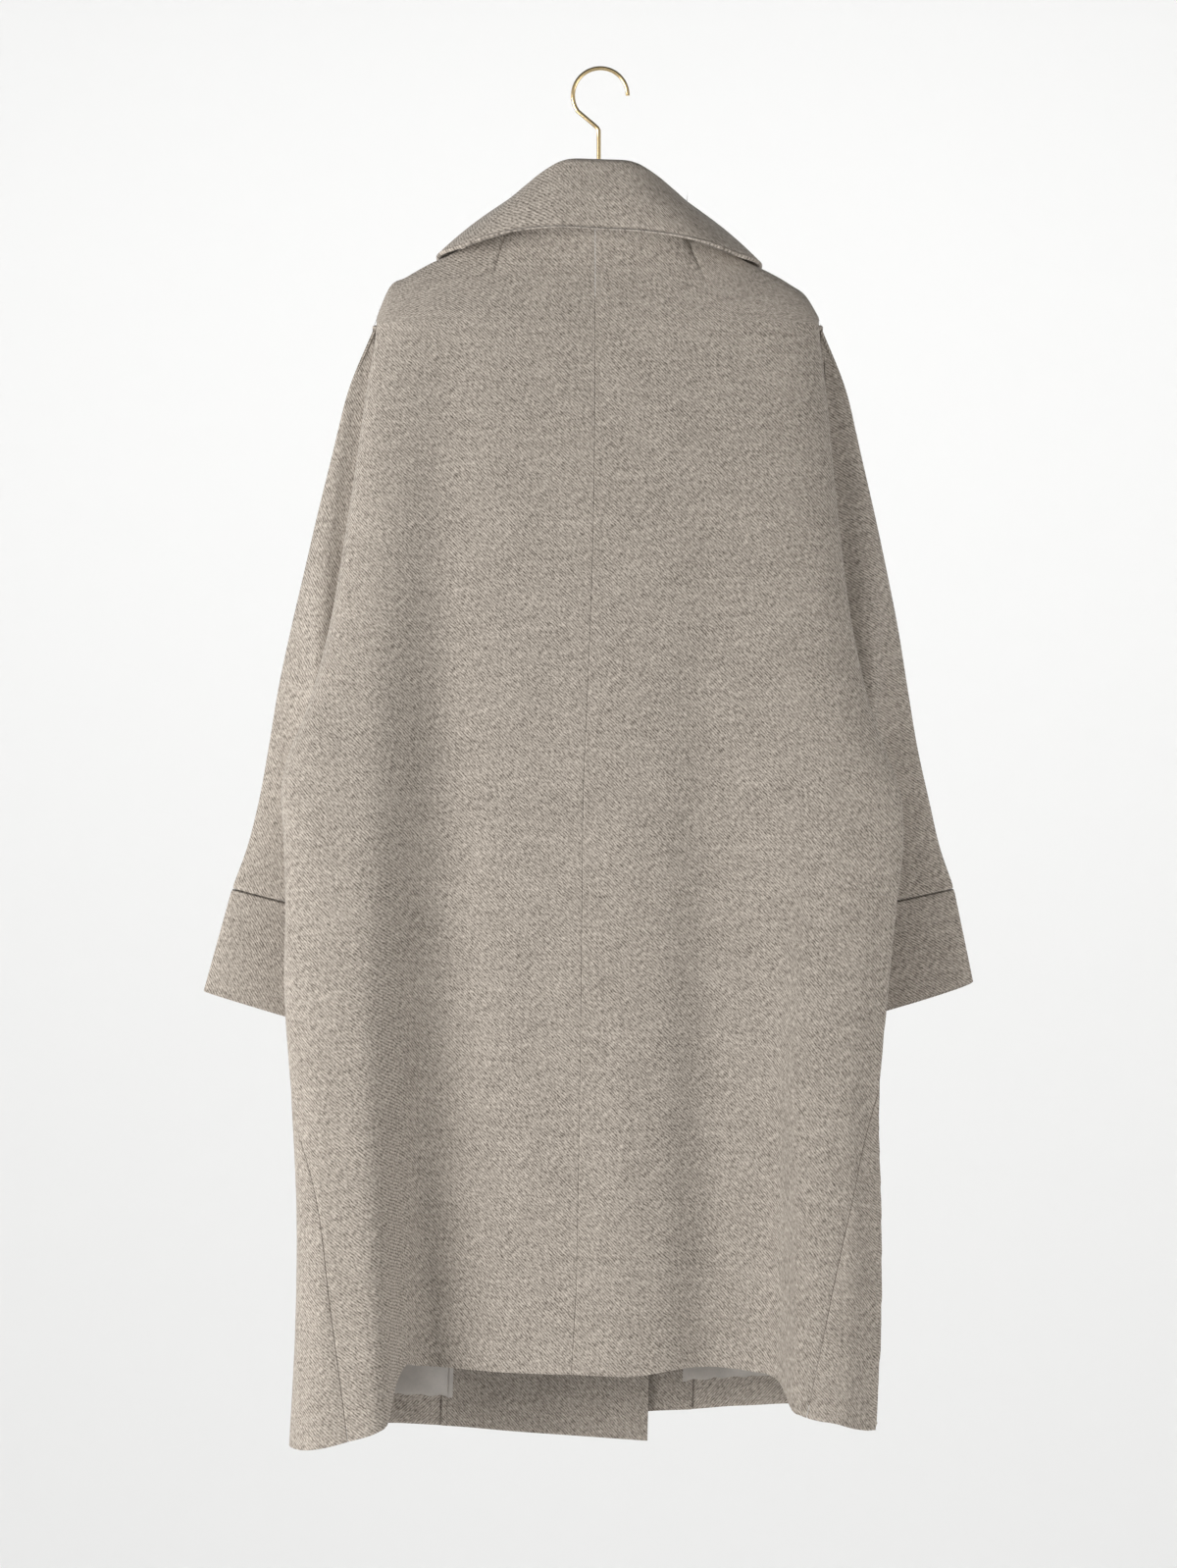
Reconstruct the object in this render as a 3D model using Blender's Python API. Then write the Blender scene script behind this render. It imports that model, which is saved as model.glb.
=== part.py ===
"""A tent coat in greige wool, hung on a wooden hanger with a brass hook.

The back of the coat faces -Y and its fronts hang next to the wall, towards +Y. -X is the wearer's left.
The origin is the inside top of the hook, where the hanger hangs from a rail, and +Z is up.
Tables are in millimetres, because a garment is cut in millimetres, and everything else is in metres.
"""

import math

import bmesh
import bpy
import numpy as np
from mathutils import Vector

MM = 0.001
LEFT, RIGHT = -1, 1

# Cloth and seams
WOOL = 0.0025
FACING_CLOTH = 0.0016
LINING_CLOTH = 0.0010
COLLAR_CLOTH = 0.0040
SEAM_GAP = 0.0003
HALF_GAP = SEAM_GAP / 2

# Heights that divide the coat
TIP_Z = -0.245
UNDERARM_Z = -0.692
PLAIN_HEM_Z = -1.290

# Silhouette: half widths to the left and right, and depth to the back and front of the side line
LEVELS = (
    # z, left, right, back, front, side
    (-175, 215, 212, 20, 19, 3),
    (-245, 215, 212, 30, 26, 0),
    (-315, 225, 219, 40, 33, -3),
    (-435, 242, 230, 48, 45, -10),
    (-555, 263, 246, 50, 56, -16),
    (-625, 283, 263, 48, 66, -22),
    (-660, 297, 275, 46, 74, -26),
    (-692, 304, 287, 44, 82, -28),
    (-730, 302, 291, 43, 92, -30),
    (-800, 300, 285, 42, 100, -30),
    (-880, 301, 277, 42, 106, -30),
    (-990, 294, 268, 42, 110, -30),
    (-1100, 289, 270, 44, 112, -31),
    (-1200, 290, 270, 46, 113, -32),
    (-1320, 296, 264, 48, 114, -32),
)
BACK_ROUNDNESS_TOP, BACK_ROUNDNESS_LOW = 2.7, 4.0
FRONT_ROUNDNESS = 2.0

# Shoulder line: height of the ridge over the hanger, as a share of the half width at the tip
SHOULDER = (
    # share, left_z, right_z
    (0.00, -112, -116),
    (0.40, -145, -150),
    (0.56, -164, -170),
    (0.68, -179, -186),
    (0.74, -184.5, -191.5),
    (0.87, -200, -207),
    (0.94, -209, -218),
    (1.00, -239, -239),
)
SHOULDER_BLEND = 0.080
DOME = 2.5

# Neckline
NECK_HALF = 0.086
NECK_BACK, NECK_FRONT = 0.028, 0.026
NECK_SIDE_TURN = 0.2
NECK_BACK_Z, NECK_FRONT_Z = -0.141, -0.216

# Vertical folds of the back: where each lies at the top and the hem, and how far it goes in and sideways
FOLDS = (
    # top_x, hem_x, half_width, inward, sideways, start_z, power
    (-250, -262, 34, -8, 0, -450, 1.0),
    (-150, -142, 34, 10, 0, -270, 0.5),
    (-168, -156, 26, 12, -14, -330, 1.6),
    (-205, -214, 16, -6, 10, -900, 1.5),
    (28, 20, 62, -12, 0, -330, 1.0),
    (208, 216, 70, -17, 0, -450, 0.8),
)
# Right of a deep fold at the left the back hangs further in, with a small step right of its middle
STEP_LEFT_X, STEP_LEFT_WIDTH, STEP_LEFT_DEPTH = -0.180, 0.080, 0.037
STEP_RIGHT_X, STEP_RIGHT_WIDTH, STEP_RIGHT_DEPTH = 0.090, 0.052, 0.014
STEP_START_Z, STEP_LEFT_POWER, STEP_RIGHT_POWER = TIP_Z, 0.6, 1.0
# Near the shoulders both steps are wide soft slopes
STEP_TOP_WIDTH = 0.085

# Shallow folds of the fronts, at the side of the wall
FRONT_FOLDS = (
    # top_x, hem_x, half_width, inward
    (-150, -176, 30, 9),
    (60, 10, 60, 3),
    (140, 168, 34, 9),
)

# Folds fade out over this distance from the coat's side
FOLD_FADE = 0.030

# Height of the hem across the back and the fronts
HEM_BACK = (
    # x, z
    (-296, -1318),
    (-285, -1319),
    (-265, -1316),
    (-240, -1309),
    (-218, -1299),
    (-205, -1289),
    (-192, -1255),
    (-180, -1242),
    (-165, -1244),
    (-105, -1248),
    (-10, -1250),
    (30, -1251),
    (80, -1245),
    (110, -1245),
    (145, -1249),
    (163, -1253),
    (170, -1258),
    (176, -1269),
    (182, -1283),
    (193, -1290),
    (206, -1294),
    (225, -1297),
    (245, -1303),
    (262, -1306),
    (270, -1304),
)
HEM_LEFT_FRONT = (
    # x, z
    (-296, -1318),
    (-260, -1314),
    (-190, -1312),
    (-140, -1318),
    (-100, -1323),
    (0, -1331),
    (60, -1335),
)
HEM_RIGHT_FRONT = (
    # x, z
    (-120, -1313),
    (0, -1309),
    (50, -1306),
    (90, -1303),
    (140, -1297),
    (195, -1292),
    (235, -1298),
    (270, -1304),
)

# Centre back seam and side seams. A side seam is given by its distance in cloth in front of the side fold.
BACK_SEAM = (
    # z, x
    (-140, -4),
    (-450, -4),
    (-690, -10),
    (-990, -15),
    (-1090, -18),
    (-1200, -22),
    (-1320, -28),
)
SIDE_SEAMS = (
    # z, left, right
    (-692, -12, -12),
    (-950, 4, -4),
    (-1050, 40, 24),
    (-1170, 62, 52),
    (-1320, 92, 78),
)

# Closure: the right front laps over the left. Both edges lean with the coat's twist.
LAP_HALF = 0.080
LEAN_AT_HEM = -0.032
FACING_WIDTH = 0.204
LINING_LAP = 0.010
LAP_LIFT = 0.0062
LAP_LIFT_MARGIN, LAP_LIFT_EASE = 0.006, 0.050
LAP_LIFT_TOP_Z, LAP_LIFT_RISE = -0.150, 0.055

# Armholes: the seam lies behind the side fold, and opens to twice this half width
ARMHOLE_SHARES = 20
ARMHOLE_HALF = 0.020
ARMHOLE_BEHIND = 0.004
UNDERARM_BEHIND = 0.012

# Sleeves: the upper edge, the underarm edge and the depth from the wall
SLEEVE_TOP = (
    # z, left, right
    (-243, 215, 212),
    (-307, 242, 238),
    (-365, 257, 252),
    (-422, 272, 266),
    (-479, 286, 279),
    (-536, 300, 291),
    (-594, 313, 301),
    (-651, 323, 311),
    (-708, 334, 324),
    (-750, 345, 334),
    (-790, 360, 348),
)
UNDERARM_LEFT = ((-304, -692), (-268, -768), (-199, -830))
UNDERARM_RIGHT = ((288, -692), (256, -764), (187, -824))
CUFF_LEFT = ((-388, -891), (-225, -939))
CUFF_RIGHT = ((367, -882), (207, -929))
CUFF_FAR_DROP = 0.005
SLEEVE_DEPTH = (
    # share, middle, half_thickness
    (0.0, -4, 20),
    (0.2, 8, 21),
    (0.5, 34, 20),
    (0.8, 54, 18),
    (1.0, 62, 18),
)
CUFF_SWELL = 1.04
SLEEVE_CLEARANCE, SEAM_CLEARANCE = 0.005, 0.002
PUSH_STEPS = 6
CUFF_GAP = 0.0005

# Collar, from the centre back round to the centre front: neck seam, top of the roll and outer edge
COLLAR = (
    # neck_turn, roll_x, roll_y, roll_z, edge_x, edge_y, edge_z, right_drop
    (0, 0, -38, -92, 0, -52, -161, 0),
    (20, 31, -36, -92, 40, -52, -159, 4),
    (38, 50, -31, -101, 77, -50, -161.5, 6),
    (54, 65, -24, -112, 106, -43, -166, 7),
    (70, 77, -12, -120.5, 133, -29, -173, 8),
    (90, 86, 3, -127, 156, 0, -177, 8),
    (101, 86, 13, -134, 158, 13, -181, 8),
    (112, 84, 22, -143, 153, 28, -193, 8),
    (134, 68, 36, -166, 120, 46, -233, 6),
    (156, 43, 44, -183, 76, 54, -265, 3),
    (176, 16, 47, -192, 30, 58, -284, 0),
)
ROLL_DROP = 0.5
ROLL_RADIUS = 0.0085
FALL_BULGE = 0.0025
COLLAR_SEAT = 0.0018

# Lining strips
LINING_RISE = 0.029
LINING_HEIGHT = 0.150
LINING_OFF = 0.0006

# Buttons on the outer front
BUTTON_HEIGHTS = (-0.320, -0.470, -0.620, -0.770)
BUTTON_INSET = 0.032
BUTTON_STAND = 0.0009
BUTTON_RADIUS, BUTTON_THICK = 0.014, 0.0035

# Hanger and hook
ARM_HALF_WIDTH = 0.187
ARM_HALF_DEPTH, ARM_HALF_HEIGHT = 0.005, 0.011
ARM_CLEARANCE, ARM_NECK_ROOM = 0.0038, 0.0016
ARM_NECK_END, ARM_NECK_EASE = 0.135, 0.025
WIRE_RADIUS = 0.0020
HOOK_RADIUS = 0.0264
HOOK_BEND = (-0.0047, -0.0530)
SHANK_X = -0.0005
SHANK_TOP_Z = -0.058

# How many cells each cloth gets
YOKE_ROWS = (0.0, 0.035, 0.15, 0.42, 0.72)
LOWER_ROWS = 8
BACK_CELLS = {LEFT: (3, 4, 6), RIGHT: (5, 3, 5)}
LEFT_LINES = ((-222, -222), (-140, -140))
RIGHT_LINES = ((118, 118), (62, 62))
FRONT_SIDE_CELLS, FRONT_LAP_CELLS = 7, 6
SLEEVE_ROWS = (0.0, 0.02, 0.05, 0.09, 0.15, 0.22, 0.3, 0.44, 0.58, 0.72, 0.86, 1.0)


def smooth(at, xs, ys):
    """A smooth curve through the points (xs, ys), read at one place or many."""
    xs, ys = np.asarray(xs, float), np.asarray(ys, float)
    if xs[0] > xs[-1]:
        xs, ys = xs[::-1], ys[::-1]
    slopes = np.gradient(ys, xs)
    at = np.clip(np.asarray(at, float), xs[0], xs[-1])
    low = np.clip(np.searchsorted(xs, at, side="right") - 1, 0, len(xs) - 2)
    step = xs[low + 1] - xs[low]
    u = (at - xs[low]) / step
    return (
        ys[low] * (1 + 2 * u) * (1 - u) ** 2
        + slopes[low] * step * u * (1 - u) ** 2
        + ys[low + 1] * u * u * (3 - 2 * u)
        + slopes[low + 1] * step * u * u * (u - 1)
    )


def column(table, place):
    return np.array([row[place] for row in table], float) * MM


def ease(u):
    """Goes smoothly from 0 to 1 as u does."""
    u = np.clip(u, 0.0, 1.0)
    return u * u * (3 - 2 * u)


def level(z, place):
    return smooth(z, column(LEVELS, 0), column(LEVELS, place))


def shoulder_z(x):
    """Height of the shoulder ridge above x."""
    x = np.asarray(x, float)
    half = np.where(x < 0, level(TIP_Z, 1), level(TIP_Z, 2))
    share = np.clip(np.abs(x) / half, 0, 1)
    shares = [row[0] for row in SHOULDER]
    left = smooth(share, shares, column(SHOULDER, 1))
    right = smooth(share, shares, column(SHOULDER, 2))
    return left + (right - left) * ease(x / SHOULDER_BLEND + 0.5)


def neck_bow(x):
    """1 at the centre of the neck and 0 at its sides, as a round arc."""
    return np.sqrt(1 - np.clip(np.abs(x) / NECK_HALF, 0, 1) ** 2)


def top_z(x, back):
    """Height of a panel's upper edge: the neckline in the middle and the shoulder line outside it."""
    x = np.asarray(x, float)
    side = np.where(x < 0, shoulder_z(-NECK_HALF), shoulder_z(NECK_HALF))
    drop = np.where(back, NECK_BACK_Z, NECK_FRONT_Z) - side
    return np.where(np.abs(x) < NECK_HALF, side + drop * neck_bow(x) ** 2, shoulder_z(x))


def top_y(x, back):
    inside = np.abs(x) < NECK_HALF
    back_y = -HALF_GAP - np.where(inside, NECK_BACK * neck_bow(x), 0)
    front_y = HALF_GAP + np.where(inside, NECK_FRONT * neck_bow(x), 0)
    return np.where(back, back_y, front_y)


def fold_growth(z, start_z, power):
    return np.clip((start_z - z) / (start_z - PLAIN_HEM_Z), 0, 1.05) ** power


def step_width(hem_width, grown):
    return STEP_TOP_WIDTH + (hem_width - STEP_TOP_WIDTH) * grown


def back_roundness(z):
    """The back is domed at the shoulders and flat as far as its side folds below the armholes."""
    low = np.clip((TIP_Z - z) / (TIP_Z - UNDERARM_Z), 0, 1)
    return BACK_ROUNDNESS_TOP + (BACK_ROUNDNESS_LOW - BACK_ROUNDNESS_TOP) * low


def back_folds(x, z, half):
    """How far the folds move the back's cloth inwards and sideways."""
    fade = ease((half - np.abs(x)) / FOLD_FADE)
    down = (TIP_Z - z) / (TIP_Z - PLAIN_HEM_Z)
    inward, sideways = 0.0, 0.0
    for top_x, hem_x, width, depth, sway, start_z, power in FOLDS:
        middle = (top_x + (hem_x - top_x) * down) * MM
        shape = np.exp(-(((x - middle) / (width * MM)) ** 2))
        grown = shape * fold_growth(z, start_z * MM, power) * fade
        inward = inward + depth * MM * grown
        sideways = sideways + sway * MM * grown
    rise = np.clip(1 - (np.abs(x) / half) ** back_roundness(z), 0, 1) ** (1 / back_roundness(z))
    grown = fold_growth(z, STEP_START_Z, 1.0)
    left = ease((x - STEP_LEFT_X) / step_width(STEP_LEFT_WIDTH, grown) + 0.5)
    right = ease((x - STEP_RIGHT_X) / step_width(STEP_RIGHT_WIDTH, grown) + 0.5)
    inward = inward + STEP_LEFT_DEPTH * left * rise * grown**STEP_LEFT_POWER
    return inward + STEP_RIGHT_DEPTH * right * rise * grown**STEP_RIGHT_POWER, sideways


def front_folds(x, z, half):
    fade = ease((half - np.abs(x)) / FOLD_FADE)
    down = (TIP_Z - z) / (TIP_Z - PLAIN_HEM_Z)
    inward = 0.0
    for top_x, hem_x, width, depth in FRONT_FOLDS:
        middle = (top_x + (hem_x - top_x) * down) * MM
        shape = np.exp(-(((x - middle) / (width * MM)) ** 2))
        inward = inward + depth * MM * shape * np.clip(down, 0, 1) * fade
    return inward


def flat_x(turn, z):
    """Across the coat before the folds, at an angle round it: 0 is the back, -pi/2 the left side."""
    across, along = np.sin(turn), np.cos(turn)
    half = np.where(across < 0, level(z, 1), level(z, 2))
    power = np.where(along > 0, 2 / back_roundness(z), 2 / FRONT_ROUNDNESS)
    return half * np.sign(across) * np.abs(across) ** power


def body(turn, z):
    """Points of the coat's outer surface, which closes on the shoulder line above TIP_Z."""
    turn, z = np.broadcast_arrays(np.asarray(turn, float), np.asarray(z, float))
    low = np.minimum(z, TIP_Z)
    along = np.cos(turn)
    back = along > 0
    half = np.where(np.sin(turn) < 0, level(low, 1), level(low, 2))
    x = flat_x(turn, low)
    behind = level(z, 3) * np.abs(along) ** (2 / back_roundness(low))
    before = level(z, 4) * np.abs(along) ** (2 / FRONT_ROUNDNESS)
    inward, sideways = back_folds(x, low, half)
    y_back = level(z, 5) - behind + inward
    y_front = level(z, 5) + before - front_folds(x, low, half)
    y = np.where(back, y_back, y_front)
    x = x + np.where(back, sideways, 0)
    ridge = top_z(x, back)
    share = np.clip((ridge - z) / np.maximum(ridge - TIP_Z, 1e-6), 0, 1)
    dome = (1 - (1 - share) ** DOME) ** (1 / DOME)
    y_top = top_y(x, back)
    y = np.where(z > TIP_Z, y_top + (y - y_top) * dome, y)
    return np.stack([x, y, z], axis=-1)


def unit(v):
    return v / np.maximum(np.linalg.norm(v, axis=-1, keepdims=True), 1e-12)


def body_normal(turn, z):
    """Outward direction of the coat's surface."""
    small_turn, small_z = 0.004, 0.0008
    turn, z = np.broadcast_arrays(np.asarray(turn, float), np.asarray(z, float))
    round_it = body(turn + small_turn, z) - body(turn - small_turn, z)
    down = body(turn, z - small_z) - body(turn, z + small_z)
    return unit(np.cross(down, round_it))


def girth(z):
    """Angles round the coat at one height, one and a half times round, with the cloth's length up to each."""
    turn = np.linspace(-1.5 * math.pi, 1.5 * math.pi, 1621)
    points = body(turn, z)
    steps = np.linalg.norm(np.diff(points, axis=0), axis=1)
    return turn, np.concatenate([[0], np.cumsum(steps)]), points[:, 0]


def side_place(side, z, behind):
    """Angle of the point that lies this much cloth behind the side fold, towards the fronts."""
    turn, length, _ = girth(z)
    fold = np.interp(side * math.pi / 2, turn, length)
    return float(np.interp(fold + side * behind, length, turn))


def back_place(z, shift):
    """Angle of the centre back seam, moved by a length of cloth."""
    turn, length, x = girth(z)
    seam_x = float(smooth(z, column(BACK_SEAM, 0), column(BACK_SEAM, 1)))
    middle = np.abs(turn) < 1.0
    at = np.interp(seam_x, x[middle], turn[middle])
    return float(np.interp(np.interp(at, turn, length) + shift, length, turn))


def front_place(side, z, x):
    """Angle of the point at x on the front half, reached past the centre front from this side."""
    turn, _, xs = girth(z)
    reach = turn <= -math.pi / 2 if side == LEFT else turn >= math.pi / 2
    return float(np.interp(-x, -xs[reach], turn[reach]))


def lean(z):
    return LEAN_AT_HEM * (TIP_Z - z) / (TIP_Z - PLAIN_HEM_Z)


def seam_behind(side, z):
    """How far behind the side fold the side seam lies."""
    place = 1 if side == LEFT else 2
    return -float(smooth(z, column(SIDE_SEAMS, 0), column(SIDE_SEAMS, place)))


def armhole_behind(share, at_front):
    """How far behind the side fold an armhole's back or front edge lies, from its top to the underarm."""
    open_by = math.sin(math.pi * share)
    drift = UNDERARM_BEHIND * (1 - math.cos(math.pi * share)) / 2
    return drift + (ARMHOLE_BEHIND + (2 * ARMHOLE_HALF if at_front else 0)) * open_by


def edge_place(side, z, at_front, gap=HALF_GAP):
    """Angle of a panel's side edge: the armhole above the underarm, and the side seam below it."""
    if z > UNDERARM_Z + 1e-6:
        drop = np.clip((TIP_Z - z) / (TIP_Z - UNDERARM_Z), 0, 1)
        share = math.acos(1 - 2 * drop) / math.pi
        behind = armhole_behind(share, at_front)
    else:
        behind = seam_behind(side, z)
    return side_place(side, z, behind + (gap if at_front else -gap))


def evenly(z, stops, cells):
    """Angles of a panel's columns at one height: the stops, with each stretch cut into even cells."""
    turn, length, _ = girth(z)
    at = np.interp(stops, turn, length)
    marks = [at[0]]
    for start, end, count in zip(at[:-1], at[1:], cells):
        marks += [start + (end - start) * (k + 1) / count for k in range(count)]
    return np.interp(marks, length, turn)


def fold_place(z, top_x, hem_x):
    """Angle of a fold's line on the back, which runs down from one place across the coat to another."""
    turn = np.linspace(-math.pi / 2, math.pi / 2, 721)
    x = (top_x + (hem_x - top_x) * (TIP_Z - z) / (TIP_Z - PLAIN_HEM_Z)) * MM
    return float(np.interp(x, flat_x(turn, z), turn))


def back_columns(side, z):
    lines = [fold_place(z, top_x, hem_x) for top_x, hem_x in (LEFT_LINES if side == LEFT else RIGHT_LINES)]
    stops = [edge_place(side, z, False), *lines, back_place(z, side * HALF_GAP)]
    return evenly(z, stops, BACK_CELLS[side])


def front_columns(side, z):
    edge_x = -side * LAP_HALF + lean(z)
    seam_x = edge_x + side * FACING_WIDTH
    stops = [
        edge_place(side, z, True),
        front_place(side, z, seam_x),
        front_place(side, z, seam_x - side * LINING_LAP),
        front_place(side, z, edge_x),
    ]
    return evenly(z, stops, [FRONT_SIDE_CELLS, 1, FRONT_LAP_CELLS])


def hem_z(side, turn, at_back_panel):
    """Height of the hem under a point of the ring."""
    x = flat_x(turn, PLAIN_HEM_Z)
    behind = smooth(x, column(HEM_BACK, 0), column(HEM_BACK, 1))
    table = HEM_LEFT_FRONT if side == LEFT else HEM_RIGHT_FRONT
    before = smooth(x, column(table, 0), column(table, 1))
    return np.where((np.cos(turn) > 0) | at_back_panel, behind, before)


def own_top_z(side, x, is_back):
    """Height of a panel's own upper edge. A front goes on level past the centre, under or over the other."""
    z = top_z(x, is_back)
    past = (not is_back) & (np.asarray(x) * side < 0)
    return np.where(past, NECK_FRONT_Z, z)


def panel_grid(side, is_back):
    """Angles and heights of a panel: rows go down the coat, and columns from the side to the middle."""
    columns = back_columns if is_back else front_columns
    top = columns(side, TIP_Z)
    ridge = own_top_z(side, flat_x(top, TIP_Z), is_back)
    rows = [(top, ridge + (TIP_Z - ridge) * share) for share in YOKE_ROWS]
    for k in range(ARMHOLE_SHARES // 2 + 1):
        share = (1 - math.cos(2 * math.pi * k / ARMHOLE_SHARES)) / 2
        z = TIP_Z + (UNDERARM_Z - TIP_Z) * share
        rows.append((columns(side, z), np.full(len(top), z)))
    for k in range(1, LOWER_ROWS + 1):
        z = UNDERARM_Z + (PLAIN_HEM_Z - UNDERARM_Z) * k / LOWER_ROWS
        turn = columns(side, z)
        hem = hem_z(side, turn, is_back)
        rows.append((turn, UNDERARM_Z + (hem - UNDERARM_Z) * k / LOWER_ROWS))
    turns, heights = zip(*rows)
    return np.array(turns), np.array(heights)


def panel_normals(turns, heights, is_back):
    """Outward directions of a panel. Along the shoulder seam both walls stand alike, so that they meet."""
    normals = body_normal(turns, heights)
    x = body(turns[0], heights[0])[:, 0]
    slope = (shoulder_z(x + 0.001) - shoulder_z(x - 0.001)) / 0.002
    ridge = unit(np.stack([-slope, np.zeros_like(slope), np.ones_like(slope)], axis=-1))
    along = (-1.0 if is_back else 1.0) * NECK_BACK * (NECK_SIDE_TURN + neck_bow(x))
    neck = unit(np.stack([x, along, 0 * x], axis=-1))
    normals[0] = np.where((np.abs(x) < NECK_HALF)[:, None], neck, ridge)
    return normals


def lap_lift(side, x, z):
    """How far the right front stands off, where it lies over the left."""
    if side == LEFT:
        return np.zeros_like(x)
    under_edge = LAP_HALF + lean(z) + LAP_LIFT_MARGIN
    across = ease((under_edge + LAP_LIFT_EASE - x) / LAP_LIFT_EASE)
    return LAP_LIFT * across * ease((LAP_LIFT_TOP_Z - z) / LAP_LIFT_RISE)


def finish(name, colour, roughness, metallic=0.0):
    material = bpy.data.materials.new(name)
    material.use_nodes = True
    shader = material.node_tree.nodes["Principled BSDF"]
    shader.inputs["Base Color"].default_value = (*colour, 1)
    shader.inputs["Roughness"].default_value = roughness
    shader.inputs["Metallic"].default_value = metallic
    return material


def add_object(name, mesh, material):
    mesh.materials.append(material)
    obj = bpy.data.objects.new(name, mesh)
    bpy.context.scene.collection.objects.link(obj)
    return obj


def cloth(name, outer, inner, material):
    """A wall of cloth: a sheet through the outer points, extruded to the inner ones.

    A tube's last column lies on its first and is merged with it.
    """
    rows, columns = outer.shape[:2]
    bm = bmesh.new()
    bmesh.ops.create_grid(bm, x_segments=columns - 1, y_segments=rows - 1, size=1)
    number = bm.verts.layers.int.new("number")
    outer, inner = outer.reshape(-1, 3), inner.reshape(-1, 3)
    for i, vert in enumerate(bm.verts):
        vert[number] = i
        vert.co = outer[i]
    bmesh.ops.remove_doubles(bm, verts=bm.verts, dist=1e-6)
    made = bmesh.ops.extrude_face_region(bm, geom=bm.faces[:])
    for vert in made["geom"]:
        if isinstance(vert, bmesh.types.BMVert):
            vert.co = inner[vert[number]]
    bmesh.ops.recalc_face_normals(bm, faces=bm.faces)
    mesh = bpy.data.meshes.new(name)
    bm.to_mesh(mesh)
    bm.free()
    mesh.shade_smooth()
    mesh.set_sharp_from_angle(angle=math.radians(50))
    return add_object(name, mesh, material)


def make_panels(wool, facing, lining):
    for side, word in ((LEFT, "left"), (RIGHT, "right")):
        turns, heights = panel_grid(side, True)
        outer = body(turns, heights)
        cloth(f"back_{word}", outer, outer - WOOL * panel_normals(turns, heights, True), wool)
        make_front(side, word, wool, facing, lining)


def make_front(side, word, wool, facing, lining):
    """A front with its facing, and the strip of lining beside it."""
    turns, heights = panel_grid(side, False)
    outer = body(turns, heights)
    out = panel_normals(turns, heights, False)
    outer = outer + out * lap_lift(side, outer[..., 0], heights)[..., None]
    cloth(f"front_{word}", outer, outer - WOOL * out, wool)
    under, edge = WOOL + SEAM_GAP, FRONT_SIDE_CELLS
    # The facing starts below the shoulder's own wall, so that it stays clear of the back panel.
    rows = slice(len(YOKE_ROWS), None)
    panel, away = outer[rows, edge:], out[rows, edge:]
    cloth(f"facing_{word}", panel - under * away, panel - (under + FACING_CLOTH) * away, facing)
    make_lining(side, word, lining)


def make_lining(side, word, lining):
    """The lining's lowest strip. It hangs free of the front and laps over the facing's seam."""
    off = WOOL + SEAM_GAP + FACING_CLOTH + LINING_OFF
    rows = []
    for share in (0.0, 0.3, 0.65, 1.0):
        plain_z = PLAIN_HEM_Z + LINING_RISE + LINING_HEIGHT * (1 - share)
        turn = front_columns(side, plain_z)[FRONT_SIDE_CELLS - 3 : FRONT_SIDE_CELLS + 2]
        z = hem_z(side, turn, False) + LINING_RISE + LINING_HEIGHT * (1 - share)
        rows.append((turn, z))
    turns, heights = (np.array(part) for part in zip(*rows))
    out = body_normal(turns, heights)
    outer = body(turns, heights)
    outer = outer + out * (lap_lift(side, outer[..., 0], heights) - off)[..., None]
    cloth(f"lining_{word}", outer, outer - LINING_CLOTH * out, lining)


def armhole_loop(side):
    """The sleeve's first ring: down the armhole's back edge and up its front edge, just off the panels."""
    ring = []
    for k in range(ARMHOLE_SHARES + 1):
        angle = 2 * math.pi * k / ARMHOLE_SHARES
        share = (1 - math.cos(angle)) / 2
        z = TIP_Z + (UNDERARM_Z - TIP_Z) * share
        at_front = k > ARMHOLE_SHARES / 2
        lift = SEAM_GAP if k in (0, ARMHOLE_SHARES) else 0
        z_row = min(z, TIP_Z - 1e-6)
        behind = armhole_behind(math.acos(1 - 2 * share) / math.pi, at_front)
        toward_middle = -HALF_GAP - SEAM_GAP if at_front else HALF_GAP + SEAM_GAP
        if k in (0, ARMHOLE_SHARES, ARMHOLE_SHARES // 2):
            toward_middle = 0
        turn = side_place(side, z_row, behind + toward_middle)
        out = body_normal(turn, z_row)
        ring.append(body(turn, z_row) + out * (SEAM_GAP + 3 * lift))
    return np.array(ring)


def along_line(points, share):
    """A point on a smooth curve through the points, at a share of its length."""
    points = np.asarray(points, float)
    steps = np.linalg.norm(np.diff(points, axis=0), axis=1)
    length = np.concatenate([[0], np.cumsum(steps)])
    at = share * length[-1]
    return np.stack([smooth(at, length, points[:, i]) for i in range(points.shape[1])], axis=-1)


def sleeve_edges(side):
    """Points (x, z) of the sleeve's upper edge and of its underarm edge."""
    place = 1 if side == LEFT else 2
    upper = np.stack([side * column(SLEEVE_TOP, place), column(SLEEVE_TOP, 0)], axis=-1)
    under = np.array(UNDERARM_LEFT if side == LEFT else UNDERARM_RIGHT, float) * MM
    return upper, under


def flat_ring(upper, under, middle, half, swell=1.0):
    """A flattened ring between two points (x, z): down its back to the lower point and up its front."""
    angle = 2 * math.pi * np.arange(ARMHOLE_SHARES + 1) / ARMHOLE_SHARES
    across = (1 - np.cos(angle)) / 2
    thick = np.sign(np.sin(angle)) * np.abs(np.sin(angle)) ** 0.8
    xz = upper + (under - upper) * across[:, None]
    y = middle - half * swell * thick
    return np.stack([xz[:, 0], y, xz[:, 1]], axis=-1)


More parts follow.
